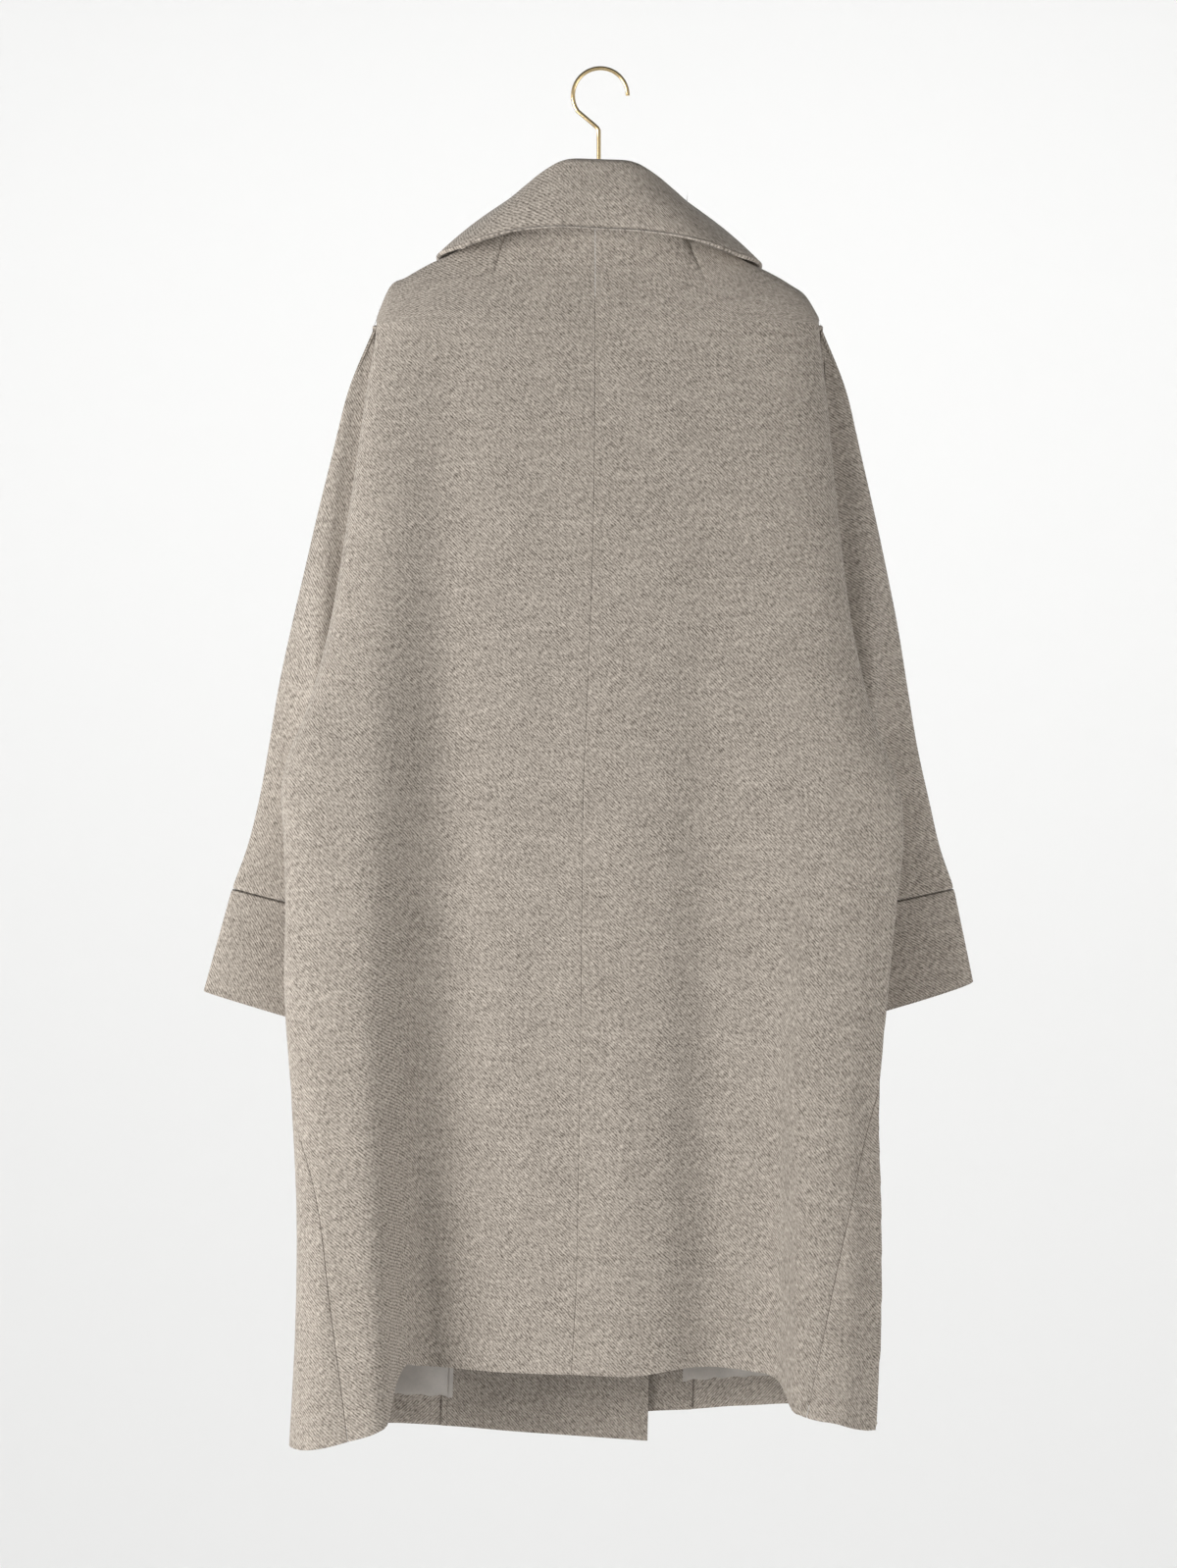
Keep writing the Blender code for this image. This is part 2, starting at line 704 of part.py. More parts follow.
def push_clear(ring, clearance):
    """Moves a sleeve's ring outwards where it would come within the clearance of the coat's side.

    Both layers of the sleeve move together there, so that the ring keeps its thickness.
    """
    ring = ring.copy()
    for _ in range(PUSH_STEPS):
        z = ring[:, 2]
        half = np.where(ring[:, 0] < 0, level(z, 1), level(z, 2)) + clearance
        behind_side = ring[:, 1] - level(z, 5)
        depth = np.where(behind_side > 0, level(z, 4), level(z, 3)) + clearance
        across, along = ring[:, 0] / half, behind_side / depth
        inside = np.clip(1 - across**2 - along**2, 0, 1)
        slope = np.stack([2 * across / half, 2 * along / depth, 0 * z], axis=-1)
        move = slope * (inside / np.sum(slope**2, axis=-1))[:, None]
        other = move[::-1]
        further = np.linalg.norm(other, axis=-1) > np.linalg.norm(move, axis=-1)
        ring += np.where(further[:, None], other, move)
    return ring


def sleeve_rings(side, shares):
    upper, under = sleeve_edges(side)
    depth_at = [row[0] for row in SLEEVE_DEPTH]
    loop = armhole_loop(side)

    def plain(share):
        middle = float(smooth(share, depth_at, column(SLEEVE_DEPTH, 1)))
        half = float(smooth(share, depth_at, column(SLEEVE_DEPTH, 2)))
        return flat_ring(along_line(upper, share), along_line(under, share), middle, half)

    offset = loop - plain(0.0)
    rings = []
    for share in shares:
        ring = plain(share) + offset * (1 - ease(share / 0.4))
        if share > 0:
            ring = push_clear(ring, SEAM_CLEARANCE + (SLEEVE_CLEARANCE - SEAM_CLEARANCE) * ease(share / 0.1))
        rings.append(ring)
    return np.array(rings)


def ring_normals(rings):
    """Outward directions of a tube's rings. In the first ring they point away from the armhole's middle."""
    down = np.gradient(rings, axis=0)
    before, after = np.roll(rings[:, :-1], 1, axis=1), np.roll(rings[:, :-1], -1, axis=1)
    round_it = after - before
    round_it = np.concatenate([round_it, round_it[:, :1]], axis=1)
    out = unit(np.cross(round_it, down))
    middle = rings[:, :-1].mean(axis=1, keepdims=True)
    out = out * math.copysign(1, np.sum(out * (rings - middle), axis=-1).mean())
    angle = 2 * math.pi * np.arange(rings.shape[1]) / ARMHOLE_SHARES
    upright = np.stack([0 * angle, 0 * angle, WOOL * np.cos(angle)], axis=-1)
    out[0] = unit((rings[0] - rings[0][::-1]) / 2 + upright)
    return out


def make_sleeves(wool):
    for side, word in ((LEFT, "left"), (RIGHT, "right")):
        rings = sleeve_rings(side, SLEEVE_ROWS)
        cuff = cuff_rings(side, rings)
        out = ring_normals(np.concatenate([rings, cuff[1:]]))
        cloth(f"sleeve_{word}", rings, rings - WOOL * out[: len(rings)], wool)
        # The cuff's first ring leans as the sleeve's last one does, so that their walls meet evenly.
        cloth(f"cuff_{word}", cuff, cuff - WOOL * out[len(rings) - 1 :], wool)


def cuff_rings(side, rings):
    """The cuff goes on from the sleeve's last ring, a seam's gap away."""
    start = rings[-1]
    hem_upper, hem_under = np.array(CUFF_LEFT if side == LEFT else CUFF_RIGHT, float) * MM
    middle = start[:, 1].mean()
    half = (start[:, 1].max() - start[:, 1].min()) / 2
    end = push_clear(flat_ring(hem_upper, hem_under, middle, half, CUFF_SWELL), SLEEVE_CLEARANCE)
    far = np.clip((end[:, 1] - middle) / half, 0, 1)
    end[:, 2] -= far * (CUFF_FAR_DROP if side == RIGHT else 0)
    length = np.linalg.norm(end - start, axis=1).mean()
    return np.array([start + (end - start) * share for share in (CUFF_GAP / length, 0.12, 0.5, 1.0)])


def collar_section(neck, roll, edge):
    """Points up the stand, over the roll and down to the outer edge, on the side of the cloth that shows."""
    out = edge[:2] - neck[:2]
    out = out / max(np.linalg.norm(out), 1e-9)
    centre = roll - np.array([0, 0, ROLL_RADIUS])

    def place(o, z):
        return centre + np.array([out[0] * o, out[1] * o, z])

    reach = float(np.dot(edge[:2] - centre[:2], out))
    fall = edge[2] - centre[2]
    distance = math.hypot(reach, fall)
    leave = math.atan2(fall, reach) + math.acos(min(ROLL_RADIUS / distance, 1))
    start = place(-ROLL_RADIUS, 0)
    points = [neck + (start - neck) * share for share in (0.0, 0.35, 0.7)]
    for k in range(5):
        angle = math.pi + (leave - math.pi) * k / 4
        points.append(place(ROLL_RADIUS * math.cos(angle), ROLL_RADIUS * math.sin(angle)))
    drop = edge - points[-1]
    across = np.array([out[0] * -drop[2], out[1] * -drop[2], math.hypot(*drop[:2])])
    across = across / np.linalg.norm(across)
    start = points[-1]
    for share in (0.25, 0.5, 0.75, 1.0):
        points.append(start + drop * share + across * FALL_BULGE * math.sin(math.pi * share))
    return np.array(points)


def neck_edge(side):
    """The neck edges of the back and the front on one side."""
    edges = []
    for is_back in (True, False):
        turns, heights = panel_grid(side, is_back)
        points, out = body(turns, heights), panel_normals(turns, heights, is_back)
        if not is_back:
            points = points + out * lap_lift(side, points[..., 0], heights)[..., None]
        top = points[0]
        edges.append(top[np.argsort(top[:, 0])])
    return edges


def neck_point(side, turn, back_edge, front_edge):
    """Where the collar's stand meets the panels, at an angle round the neck from the centre back."""
    x = side * NECK_HALF * math.sin(turn)
    edge = back_edge if math.cos(turn) > 0 else front_edge
    y, z = (float(np.interp(x, edge[:, 0], edge[:, i])) for i in (1, 2))
    return np.array([x, y, z + COLLAR_SEAT])


def collar_station(side, row, back_edge, front_edge):
    """The neck, roll and edge points of one row of the collar's table."""
    drop = row[7] if side == RIGHT else 0
    roll = np.array([side * row[1], row[2], row[3] - drop * ROLL_DROP]) * MM
    edge = np.array([side * row[4], row[5], row[6] - drop]) * MM
    neck = neck_point(side, math.radians(row[0]), back_edge, front_edge)
    inwards = unit(np.array([-neck[0], -neck[1] * 2, 0]))
    return neck + inwards * (COLLAR_CLOTH + WOOL) / 2, roll, edge


def make_collar(wool):
    left, right = neck_edge(LEFT), neck_edge(RIGHT)
    stations = [collar_section(*collar_station(LEFT, row, *left)) for row in COLLAR[:0:-1]]
    stations += [collar_section(*collar_station(RIGHT, row, *right)) for row in COLLAR]
    outer = np.array(stations)
    out = unit(np.cross(np.gradient(outer, axis=0), np.gradient(outer, axis=1)))
    out = out * math.copysign(1, out[len(COLLAR) - 1, 5, 2])
    # The cut at the neck seam is level, like the panels' own upper edges.
    seam = np.gradient(outer[:, 0], axis=0)
    level_out = unit(np.stack([-seam[:, 1], seam[:, 0], 0 * seam[:, 0]], axis=-1))
    out[:, 0] = level_out * math.copysign(1, np.sum(level_out * out[:, 0]))
    cloth("collar", outer, outer - COLLAR_CLOTH * out, wool)


def make_buttons(horn):
    for i, z in enumerate(BUTTON_HEIGHTS):
        edge_x = -LAP_HALF + lean(z) + BUTTON_INSET
        turn = front_place(RIGHT, z, edge_x)
        out = body_normal(turn, z)
        seat = body(turn, z) + out * (LAP_LIFT + BUTTON_STAND + BUTTON_THICK / 2)
        bm = bmesh.new()
        bmesh.ops.create_cone(
            bm, cap_ends=True, segments=20, radius1=BUTTON_RADIUS, radius2=BUTTON_RADIUS, depth=BUTTON_THICK
        )
        rims = [e for e in bm.edges if abs(e.verts[0].co.z - e.verts[1].co.z) < 1e-6]
        bmesh.ops.bevel(
            bm, geom=rims, offset=0.0008, affect="EDGES", segments=2, profile=0.5, material=-1
        )
        mesh = bpy.data.meshes.new(f"button_{i + 1}")
        bm.to_mesh(mesh)
        bm.free()
        mesh.shade_smooth()
        mesh.set_sharp_from_angle(angle=math.radians(40))
        obj = add_object(f"button_{i + 1}", mesh, horn)
        obj.rotation_mode = "QUATERNION"
        obj.rotation_quaternion = Vector(out).to_track_quat("Z", "Y")
        obj.location = seat


def arm_clearance(x):
    """The arm lies closer under the shoulders than under the neck's seam."""
    return ARM_CLEARANCE + ARM_NECK_ROOM * ease((ARM_NECK_END - abs(x)) / ARM_NECK_EASE)


def arm_middle_z(x):
    """Height of the middle of the hanger's arm: its top follows the shoulder line, just under the cloth."""
    return float(shoulder_z(x)) - arm_clearance(x) - ARM_HALF_HEIGHT


def make_hanger(wood):
    """A slim wooden arm whose sections follow the shoulder line from tip to tip."""
    sections, sides = 25, 12
    angle = 2 * math.pi * np.arange(sides) / sides
    bm = bmesh.new()
    rings = []
    for k in range(sections):
        x = -ARM_HALF_WIDTH + 2 * ARM_HALF_WIDTH * k / (sections - 1)
        taper = 1 - 0.45 * abs(x / ARM_HALF_WIDTH) ** 4
        high = ARM_HALF_HEIGHT * taper
        z = arm_middle_z(x) + ARM_HALF_HEIGHT - high
        ring = [
            bm.verts.new((x, ARM_HALF_DEPTH * taper * math.cos(a), z + high * math.sin(a))) for a in angle
        ]
        rings.append(ring)
    for first, second in zip(rings[:-1], rings[1:]):
        edges = []
        for ring in (first, second):
            for a, b in zip(ring, ring[1:] + ring[:1]):
                edges.append(bm.edges.get((a, b)) or bm.edges.new((a, b)))
        bmesh.ops.bridge_loops(bm, edges=edges)
    for ring in (rings[0], rings[-1]):
        bm.faces.new(ring)
    bmesh.ops.recalc_face_normals(bm, faces=bm.faces)
    mesh = bpy.data.meshes.new("hanger")
    bm.to_mesh(mesh)
    bm.free()
    mesh.shade_smooth()
    add_object("hanger", mesh, wood)


def make_hook(brass):
    """The hook: round over the rail from its open end, a short slant, and the shank down to the hanger."""
    centre = (0.001, WIRE_RADIUS - HOOK_RADIUS)
    slant_from = math.radians(215)
    points = [
        (centre[0] + HOOK_RADIUS * math.cos(a), centre[1] + HOOK_RADIUS * math.sin(a))
        for a in np.linspace(0, slant_from, 22)
    ]
    points += [
        HOOK_BEND,
        (-0.0019, -0.0556),
        (SHANK_X, SHANK_TOP_Z),
        (SHANK_X, SHANK_TOP_Z - 0.006),
        (SHANK_X, float(shoulder_z(0.0)) - arm_clearance(0.0) + SEAM_GAP),
    ]
    curve = bpy.data.curves.new("hook", "CURVE")
    curve.dimensions = "3D"
    curve.bevel_depth = WIRE_RADIUS
    curve.bevel_resolution = 2
    curve.use_fill_caps = True
    spline = curve.splines.new("POLY")
    spline.points.add(len(points) - 1)
    for point, (x, z) in zip(spline.points, points):
        point.co = (x, 0, z, 1)
    curve.materials.append(brass)
    hook = bpy.data.objects.new("hook", curve)
    bpy.context.scene.collection.objects.link(hook)


def main():
    for obj in list(bpy.data.objects):
        bpy.data.objects.remove(obj)
    wool = finish("wool", (0.44, 0.38, 0.32), 0.95)
    facing = finish("facing_wool", (0.38, 0.33, 0.28), 0.95)
    lining = finish("lining", (0.45, 0.41, 0.37), 0.5)
    horn = finish("horn_button", (0.09, 0.065, 0.05), 0.35)
    wood = finish("beech", (0.55, 0.38, 0.22), 0.5)
    brass = finish("brass", (0.80, 0.62, 0.33), 0.3, 1.0)
    make_panels(wool, facing, lining)
    make_sleeves(wool)
    make_collar(wool)
    make_buttons(horn)
    make_hanger(wood)
    make_hook(brass)


main()
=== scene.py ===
# %% [markdown]
# # A tent coat on its hanger
# This is a wide wool coat, hung up by the brass hook of a wooden hanger and seen from behind.
# The rigid model comes first. Each piece of it is then replaced by a cloth piece with its own cut,
# its seams, its stitching and a wool that is woven from nodes.

import math

import bmesh
import bpy
import numpy as np
from mathutils import Matrix, Vector


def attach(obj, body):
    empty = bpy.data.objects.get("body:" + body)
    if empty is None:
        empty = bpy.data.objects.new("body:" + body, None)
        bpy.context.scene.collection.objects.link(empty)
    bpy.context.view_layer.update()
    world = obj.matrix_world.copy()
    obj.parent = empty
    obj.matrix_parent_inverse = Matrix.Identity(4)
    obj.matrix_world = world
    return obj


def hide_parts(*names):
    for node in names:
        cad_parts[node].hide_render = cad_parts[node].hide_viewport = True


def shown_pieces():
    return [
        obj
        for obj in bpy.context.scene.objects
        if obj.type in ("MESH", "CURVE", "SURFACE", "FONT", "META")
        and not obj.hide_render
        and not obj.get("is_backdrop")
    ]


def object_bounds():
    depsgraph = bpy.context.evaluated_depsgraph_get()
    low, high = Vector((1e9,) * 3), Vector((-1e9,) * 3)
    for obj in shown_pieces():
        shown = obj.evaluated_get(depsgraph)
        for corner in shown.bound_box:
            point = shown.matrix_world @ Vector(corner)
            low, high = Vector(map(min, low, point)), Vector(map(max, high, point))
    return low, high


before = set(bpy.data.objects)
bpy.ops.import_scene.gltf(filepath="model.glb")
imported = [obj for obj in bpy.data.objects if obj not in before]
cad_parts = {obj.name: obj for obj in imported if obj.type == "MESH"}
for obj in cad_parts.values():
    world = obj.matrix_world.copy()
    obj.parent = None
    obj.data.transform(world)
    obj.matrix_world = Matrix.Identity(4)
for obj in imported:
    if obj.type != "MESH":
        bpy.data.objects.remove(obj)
cad_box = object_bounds()
MM = 0.001
LEFT, RIGHT = -1, 1
SIDES = ((LEFT, "left"), (RIGHT, "right"))
SIDE_COLUMN = {LEFT: 1, RIGHT: 2}
print("nodes:", len(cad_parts))

# %% [markdown]
# ## The camera
# The photograph was taken straight on, from a few metres away, at about the height of the coat's waist.
# A long lens keeps the sleeves and the hem in proportion. The sensor's 36 mm lie along the tall side.

# %% Set up the camera
CAMERA_DISTANCE = 3.6
CAMERA_X, CAMERA_Z = -0.0104, -0.688
LENS = 85.74


def add_object(name, data):
    """Puts a mesh, a curve, a light or a camera into the scene."""
    obj = bpy.data.objects.new(name, data)
    bpy.context.scene.collection.objects.link(obj)
    return obj


camera = add_object("camera", bpy.data.cameras.new("camera"))
camera.data.lens = LENS
camera.location = (CAMERA_X, -CAMERA_DISTANCE, CAMERA_Z)
camera.rotation_euler = (math.pi / 2, 0, 0)
bpy.context.scene.camera = camera

# %% [markdown]
# ## The cut of the coat
# A cutter works from a few measurements: how wide the coat is at each height, how far it stands off to the
# back and to the front, and where the shoulders, the neck and the hem run. The same tables shape the rigid
# model, so the cloth lies where that model collides. They are in millimetres.

# %% Measurements of the body
WOOL = 0.0025
FACING_CLOTH = 0.0016
LINING_CLOTH = 0.0010
COLLAR_CLOTH = 0.0040
SEAM_GAP = 0.0003
HALF_GAP = SEAM_GAP / 2
TIP_Z, UNDERARM_Z, PLAIN_HEM_Z = -0.245, -0.692, -1.290

LEVELS = (
    # z, left, right, back, front, side
    (-175, 215, 212, 20, 19, 3),
    (-245, 215, 212, 30, 26, 0),
    (-315, 225, 219, 40, 33, -3),
    (-435, 242, 230, 48, 45, -10),
    (-555, 263, 246, 50, 56, -16),
    (-625, 283, 263, 48, 66, -22),
    (-660, 297, 275, 46, 74, -26),
    (-692, 304, 287, 44, 82, -28),
    (-730, 302, 291, 43, 92, -30),
    (-800, 300, 285, 42, 100, -30),
    (-880, 301, 277, 42, 106, -30),
    (-990, 294, 268, 42, 110, -30),
    (-1100, 289, 270, 44, 112, -31),
    (-1200, 290, 270, 46, 113, -32),
    (-1320, 296, 264, 48, 114, -32),
)
BACK_ROUNDNESS_TOP, BACK_ROUNDNESS_LOW, FRONT_ROUNDNESS = 2.7, 4.0, 2.0
SHOULDER = (
    # share, left_z, right_z
    (0.00, -112, -116),
    (0.40, -145, -150),
    (0.56, -164, -170),
    (0.68, -179, -186),
    (0.74, -184.5, -191.5),
    (0.87, -200, -207),
    (0.94, -209, -218),
    (1.00, -239, -239),
)
SHOULDER_BLEND = 0.080
DOME = 2.5
NECK_HALF = 0.086
NECK_BACK, NECK_FRONT = 0.028, 0.026
NECK_SIDE_TURN = 0.2
NECK_BACK_Z, NECK_FRONT_Z = -0.141, -0.216


# %% Curves through the measurements
def smooth(at, xs, ys):
    """A smooth curve through the points (xs, ys), read at one place or many."""
    xs, ys = np.asarray(xs, float), np.asarray(ys, float)
    if xs[0] > xs[-1]:
        xs, ys = xs[::-1], ys[::-1]
    slopes = np.gradient(ys, xs)
    at = np.clip(np.asarray(at, float), xs[0], xs[-1])
    low = np.clip(np.searchsorted(xs, at, side="right") - 1, 0, len(xs) - 2)
    step = xs[low + 1] - xs[low]
    u = (at - xs[low]) / step
    return (
        ys[low] * (1 + 2 * u) * (1 - u) ** 2
        + slopes[low] * step * u * (1 - u) ** 2
        + ys[low + 1] * u * u * (3 - 2 * u)
        + slopes[low + 1] * step * u * u * (u - 1)
    )


def column(table, place):
    return np.array([row[place] for row in table], float) * MM


def read(table, at, place):
    """A column of a table, read as a smooth curve over the first column."""
    return smooth(at, column(table, 0), column(table, place))


def ease(u):
    """Goes smoothly from 0 to 1 as u does."""
    u = np.clip(u, 0.0, 1.0)
    return u * u * (3 - 2 * u)


def bell(distance, width):
    """1 at the middle of a soft ridge or trough, and nearly 0 beyond its width."""
    return np.exp(-((distance / width) ** 2))


def unit(v):
    return v / np.maximum(np.linalg.norm(v, axis=-1, keepdims=True), 1e-12)


def level(z, place):
    return read(LEVELS, z, place)


def half_width(x, z):
    """How far the coat reaches at a height, on the side that x is on."""
    return np.where(x < 0, level(z, 1), level(z, 2))


def line_lengths(points):
    """Length along a line up to each of its points."""
    steps = np.linalg.norm(np.diff(points, axis=0), axis=1)
    return np.concatenate([[0], np.cumsum(steps)])


# %% [markdown]
# ## Shoulders and neckline
# A coat that hangs empty closes along its shoulder seam. Only the neck stays open, as a round arc that
# dips further at the front than at the back.


# %% Upper edge of a panel
def shoulder_z(x):
    """Height of the shoulder seam above x."""
    x = np.asarray(x, float)
    share = np.clip(np.abs(x) / half_width(x, TIP_Z), 0, 1)
    shares = [row[0] for row in SHOULDER]
    left = smooth(share, shares, column(SHOULDER, 1))
    right = smooth(share, shares, column(SHOULDER, 2))
    return left + (right - left) * ease(x / SHOULDER_BLEND + 0.5)


def neck_bow(x):
    """1 at the centre of the neck and 0 at its sides."""
    return np.sqrt(1 - np.clip(np.abs(x) / NECK_HALF, 0, 1) ** 2)


def top_z(x, back):
    x = np.asarray(x, float)
    side = np.where(x < 0, shoulder_z(-NECK_HALF), shoulder_z(NECK_HALF))
    drop = np.where(back, NECK_BACK_Z, NECK_FRONT_Z) - side
    return np.where(np.abs(x) < NECK_HALF, side + drop * neck_bow(x) ** 2, shoulder_z(x))


def top_y(x, back):
    inside = np.abs(x) < NECK_HALF
    back_y = -HALF_GAP - np.where(inside, NECK_BACK * neck_bow(x), 0)
    front_y = HALF_GAP + np.where(inside, NECK_FRONT * neck_bow(x), 0)
    return np.where(back, back_y, front_y)


# %% [markdown]
# ## Folds
# The flare of a tent coat has no waist to hold it, so its spare width falls into long folds. They start
# softly below the shoulder blades and deepen down to the hem. The back falls in by a deep step at its
# left and a smaller one right of its middle. Each fold is one soft bell, moved in and sideways as it
# goes down.

# %% Folds of the back and the fronts
FOLDS = (
    # top_x, hem_x, half_width, inward, sideways, start_z, power
    (-250, -262, 34, -8, 0, -450, 1.0),
    (-150, -142, 34, 10, 0, -270, 0.5),
    (-168, -156, 26, 12, -14, -330, 1.6),
    (-205, -214, 16, -6, 10, -900, 1.5),
    (28, 20, 62, -12, 0, -330, 1.0),
    (208, 216, 70, -17, 0, -450, 0.8),
)
# Soft creases between the folds, which only the dressed cloth has
CREASES = (
    # top_x, hem_x, half_width, inward, sideways, start_z, power
    (-188, -186, 22, 10, 0, -540, 1.0),
    (-224, -228, 16, -4, 0, -700, 1.0),
    (-70, -52, 30, -2, 0, -380, 0.8),
    (88, 92, 20, 5, 0, -500, 1.0),
    (150, 158, 24, 2, 0, -600, 1.0),
)
STEP_LEFT_X, STEP_LEFT_WIDTH, STEP_LEFT_DEPTH = -0.180, 0.080, 0.037
STEP_RIGHT_X, STEP_RIGHT_WIDTH, STEP_RIGHT_DEPTH = 0.090, 0.052, 0.014
STEP_START_Z, STEP_LEFT_POWER, STEP_RIGHT_POWER = TIP_Z, 0.6, 1.0
# Near the shoulders both steps are wide soft slopes
STEP_TOP_WIDTH = 0.085
FRONT_FOLDS = (
    # top_x, hem_x, half_width, inward
    (-150, -176, 30, 9),
    (60, 10, 60, 3),
    (140, 168, 34, 9),
)
FOLD_FADE, FOLD_ONSET = 0.030, 0.04


def way_down(z):
    """0 at the sleeve tips and 1 at the hem."""
    return (TIP_Z - z) / (TIP_Z - PLAIN_HEM_Z)


def fold_middle(top_x, hem_x, z):
    return (top_x + (hem_x - top_x) * way_down(z)) * MM


def fold_growth(z, start_z, power):
    """How far a fold has grown at a height. It starts softly, so that no line crosses the cloth there."""
    share = np.clip((start_z - z) / (start_z - PLAIN_HEM_Z), 0, 1.05)
    return (share * share / (share + FOLD_ONSET)) ** power


def step_width(hem_width, grown):
    return STEP_TOP_WIDTH + (hem_width - STEP_TOP_WIDTH) * grown


def back_roundness(z):
    """The back is domed at the shoulders and flat as far as its side folds below the armholes."""
    low = np.clip((TIP_Z - z) / (TIP_Z - UNDERARM_Z), 0, 1)
    return BACK_ROUNDNESS_TOP + (BACK_ROUNDNESS_LOW - BACK_ROUNDNESS_TOP) * low


def back_folds(x, z, half):
    """How far the folds move the back's cloth inwards and sideways."""
    fade = ease((half - np.abs(x)) / FOLD_FADE)
    inward, sideways = 0.0, 0.0
    for top_x, hem_x, width, depth, sway, start_z, power in FOLDS + CREASES:
        across = bell(x - fold_middle(top_x, hem_x, z), width * MM)
        grown = across * fold_growth(z, start_z * MM, power) * fade
        inward = inward + depth * MM * grown
        sideways = sideways + sway * MM * grown
    rise = np.clip(1 - (np.abs(x) / half) ** back_roundness(z), 0, 1) ** (1 / back_roundness(z))
    grown = fold_growth(z, STEP_START_Z, 1.0)
    left = ease((x - STEP_LEFT_X) / step_width(STEP_LEFT_WIDTH, grown) + 0.5)
    right = ease((x - STEP_RIGHT_X) / step_width(STEP_RIGHT_WIDTH, grown) + 0.5)
    inward = inward + STEP_LEFT_DEPTH * left * rise * grown**STEP_LEFT_POWER
    return inward + STEP_RIGHT_DEPTH * right * rise * grown**STEP_RIGHT_POWER, sideways


def front_folds(x, z, half):
    fade = ease((half - np.abs(x)) / FOLD_FADE) * np.clip(way_down(z), 0, 1)
    inward = 0.0
    for top_x, hem_x, width, depth in FRONT_FOLDS:
        inward = inward + depth * MM * bell(x - fold_middle(top_x, hem_x, z), width * MM) * fade
    return inward


# %% The coat's surface
def flat_x(turn, z):
    """Across the coat before the folds, at an angle round it: 0 is the back, -pi/2 the left side."""
    across, along = np.sin(turn), np.cos(turn)
    power = np.where(along > 0, 2 / back_roundness(z), 2 / FRONT_ROUNDNESS)
    return half_width(across, z) * np.sign(across) * np.abs(across) ** power


def body(turn, z):
    """Points of the coat's outer surface, which closes on the shoulder line above TIP_Z."""
    turn, z = np.broadcast_arrays(np.asarray(turn, float), np.asarray(z, float))
    low = np.minimum(z, TIP_Z)
    along = np.cos(turn)
    back = along > 0
    half = half_width(np.sin(turn), low)
    x = flat_x(turn, low)
    behind = level(z, 3) * np.abs(along) ** (2 / back_roundness(low))
    before = level(z, 4) * np.abs(along) ** (2 / FRONT_ROUNDNESS)
    inward, sideways = back_folds(x, low, half)
    y_back = level(z, 5) - behind + inward
    y_front = level(z, 5) + before - front_folds(x, low, half)
    y = np.where(back, y_back, y_front)
    x = x + np.where(back, sideways, 0)
    ridge = top_z(x, back)
    share = np.clip((ridge - z) / np.maximum(ridge - TIP_Z, 1e-6), 0, 1)
    dome = (1 - (1 - share) ** DOME) ** (1 / DOME)
    y_top = top_y(x, back)
    y = np.where(z > TIP_Z, y_top + (y - y_top) * dome, y)
    return np.stack([x, y, z], axis=-1)


def body_normal(turn, z):
    """Outward direction of the coat's surface."""
    small_turn, small_z = 0.004, 0.0008
    turn, z = np.broadcast_arrays(np.asarray(turn, float), np.asarray(z, float))
    round_it = body(turn + small_turn, z) - body(turn - small_turn, z)
    down = body(turn, z - small_z) - body(turn, z + small_z)
    return unit(np.cross(down, round_it))


# %% [markdown]
# ## Measuring round the coat
# A tape measure laid round the coat at one height gives the cloth's length up to each angle. Every seam and
# column of the mesh is placed by that length, so that the weave keeps its size over the folds.

# %% A tape round the coat
TAPE_STEPS = 1621
BACK_REACH = 1.4
tapes = {}


def tape(z):
    """Angles round the coat at one height, one and a half times round, with the cloth's length and x."""
    key = round(float(z), 6)
    if key not in tapes:
        turn = np.linspace(-1.5 * math.pi, 1.5 * math.pi, TAPE_STEPS)
        points = body(turn, key)
        tapes[key] = turn, line_lengths(points), points[:, 0]
    return tapes[key]


def side_place(side, z, behind):
    """Angle of the point that lies this much cloth behind the side fold, towards the fronts."""
    turn, length, _ = tape(z)
    fold = np.interp(side * math.pi / 2, turn, length)
    return float(np.interp(fold + side * behind, length, turn))


def back_place(z, at_x, shift=0.0):
    """Angle of the point of the back at this x, moved by a length of cloth."""
    turn, length, x = tape(z)
    middle = np.abs(turn) < BACK_REACH
    at = np.interp(at_x, x[middle], turn[middle])
    return float(np.interp(np.interp(at, turn, length) + shift, length, turn))


def front_place(side, z, x):
    """Angle of the point at x on the front half, reached past the centre front from this side."""
    turn, _, xs = tape(z)
    reach = turn <= -math.pi / 2 if side == LEFT else turn >= math.pi / 2
    return float(np.interp(-x, -xs[reach], turn[reach]))


# %% [markdown]
# ## Seams
# The centre back seam and the two side seams lean a little, because the coat hangs twisted on its hanger.
# Above the underarm each panel ends at the armhole instead, and that curve opens towards the front.

# %% Where the seams run
BACK_SEAM = (
    # z, x
    (-140, -4),
    (-450, -4),
    (-690, -10),
    (-990, -15),
    (-1090, -18),
    (-1200, -22),
    (-1320, -28),
)
SIDE_SEAMS = (
    # z, left, right
    (-692, -12, -12),
    (-950, 4, -4),
    (-1050, 40, 24),
    (-1170, 62, 52),
    (-1320, 92, 78),
)
LAP_HALF = 0.080
LEAN_AT_HEM = -0.032
FACING_WIDTH = 0.204
LAP_LIFT = 0.0062
LAP_LIFT_MARGIN, LAP_LIFT_EASE = 0.006, 0.050
LAP_LIFT_TOP_Z, LAP_LIFT_RISE = -0.150, 0.055
ARMHOLE_HALF = 0.020
ARMHOLE_BEHIND = 0.004
UNDERARM_BEHIND = 0.012


def lean(z):
    return LEAN_AT_HEM * way_down(z)


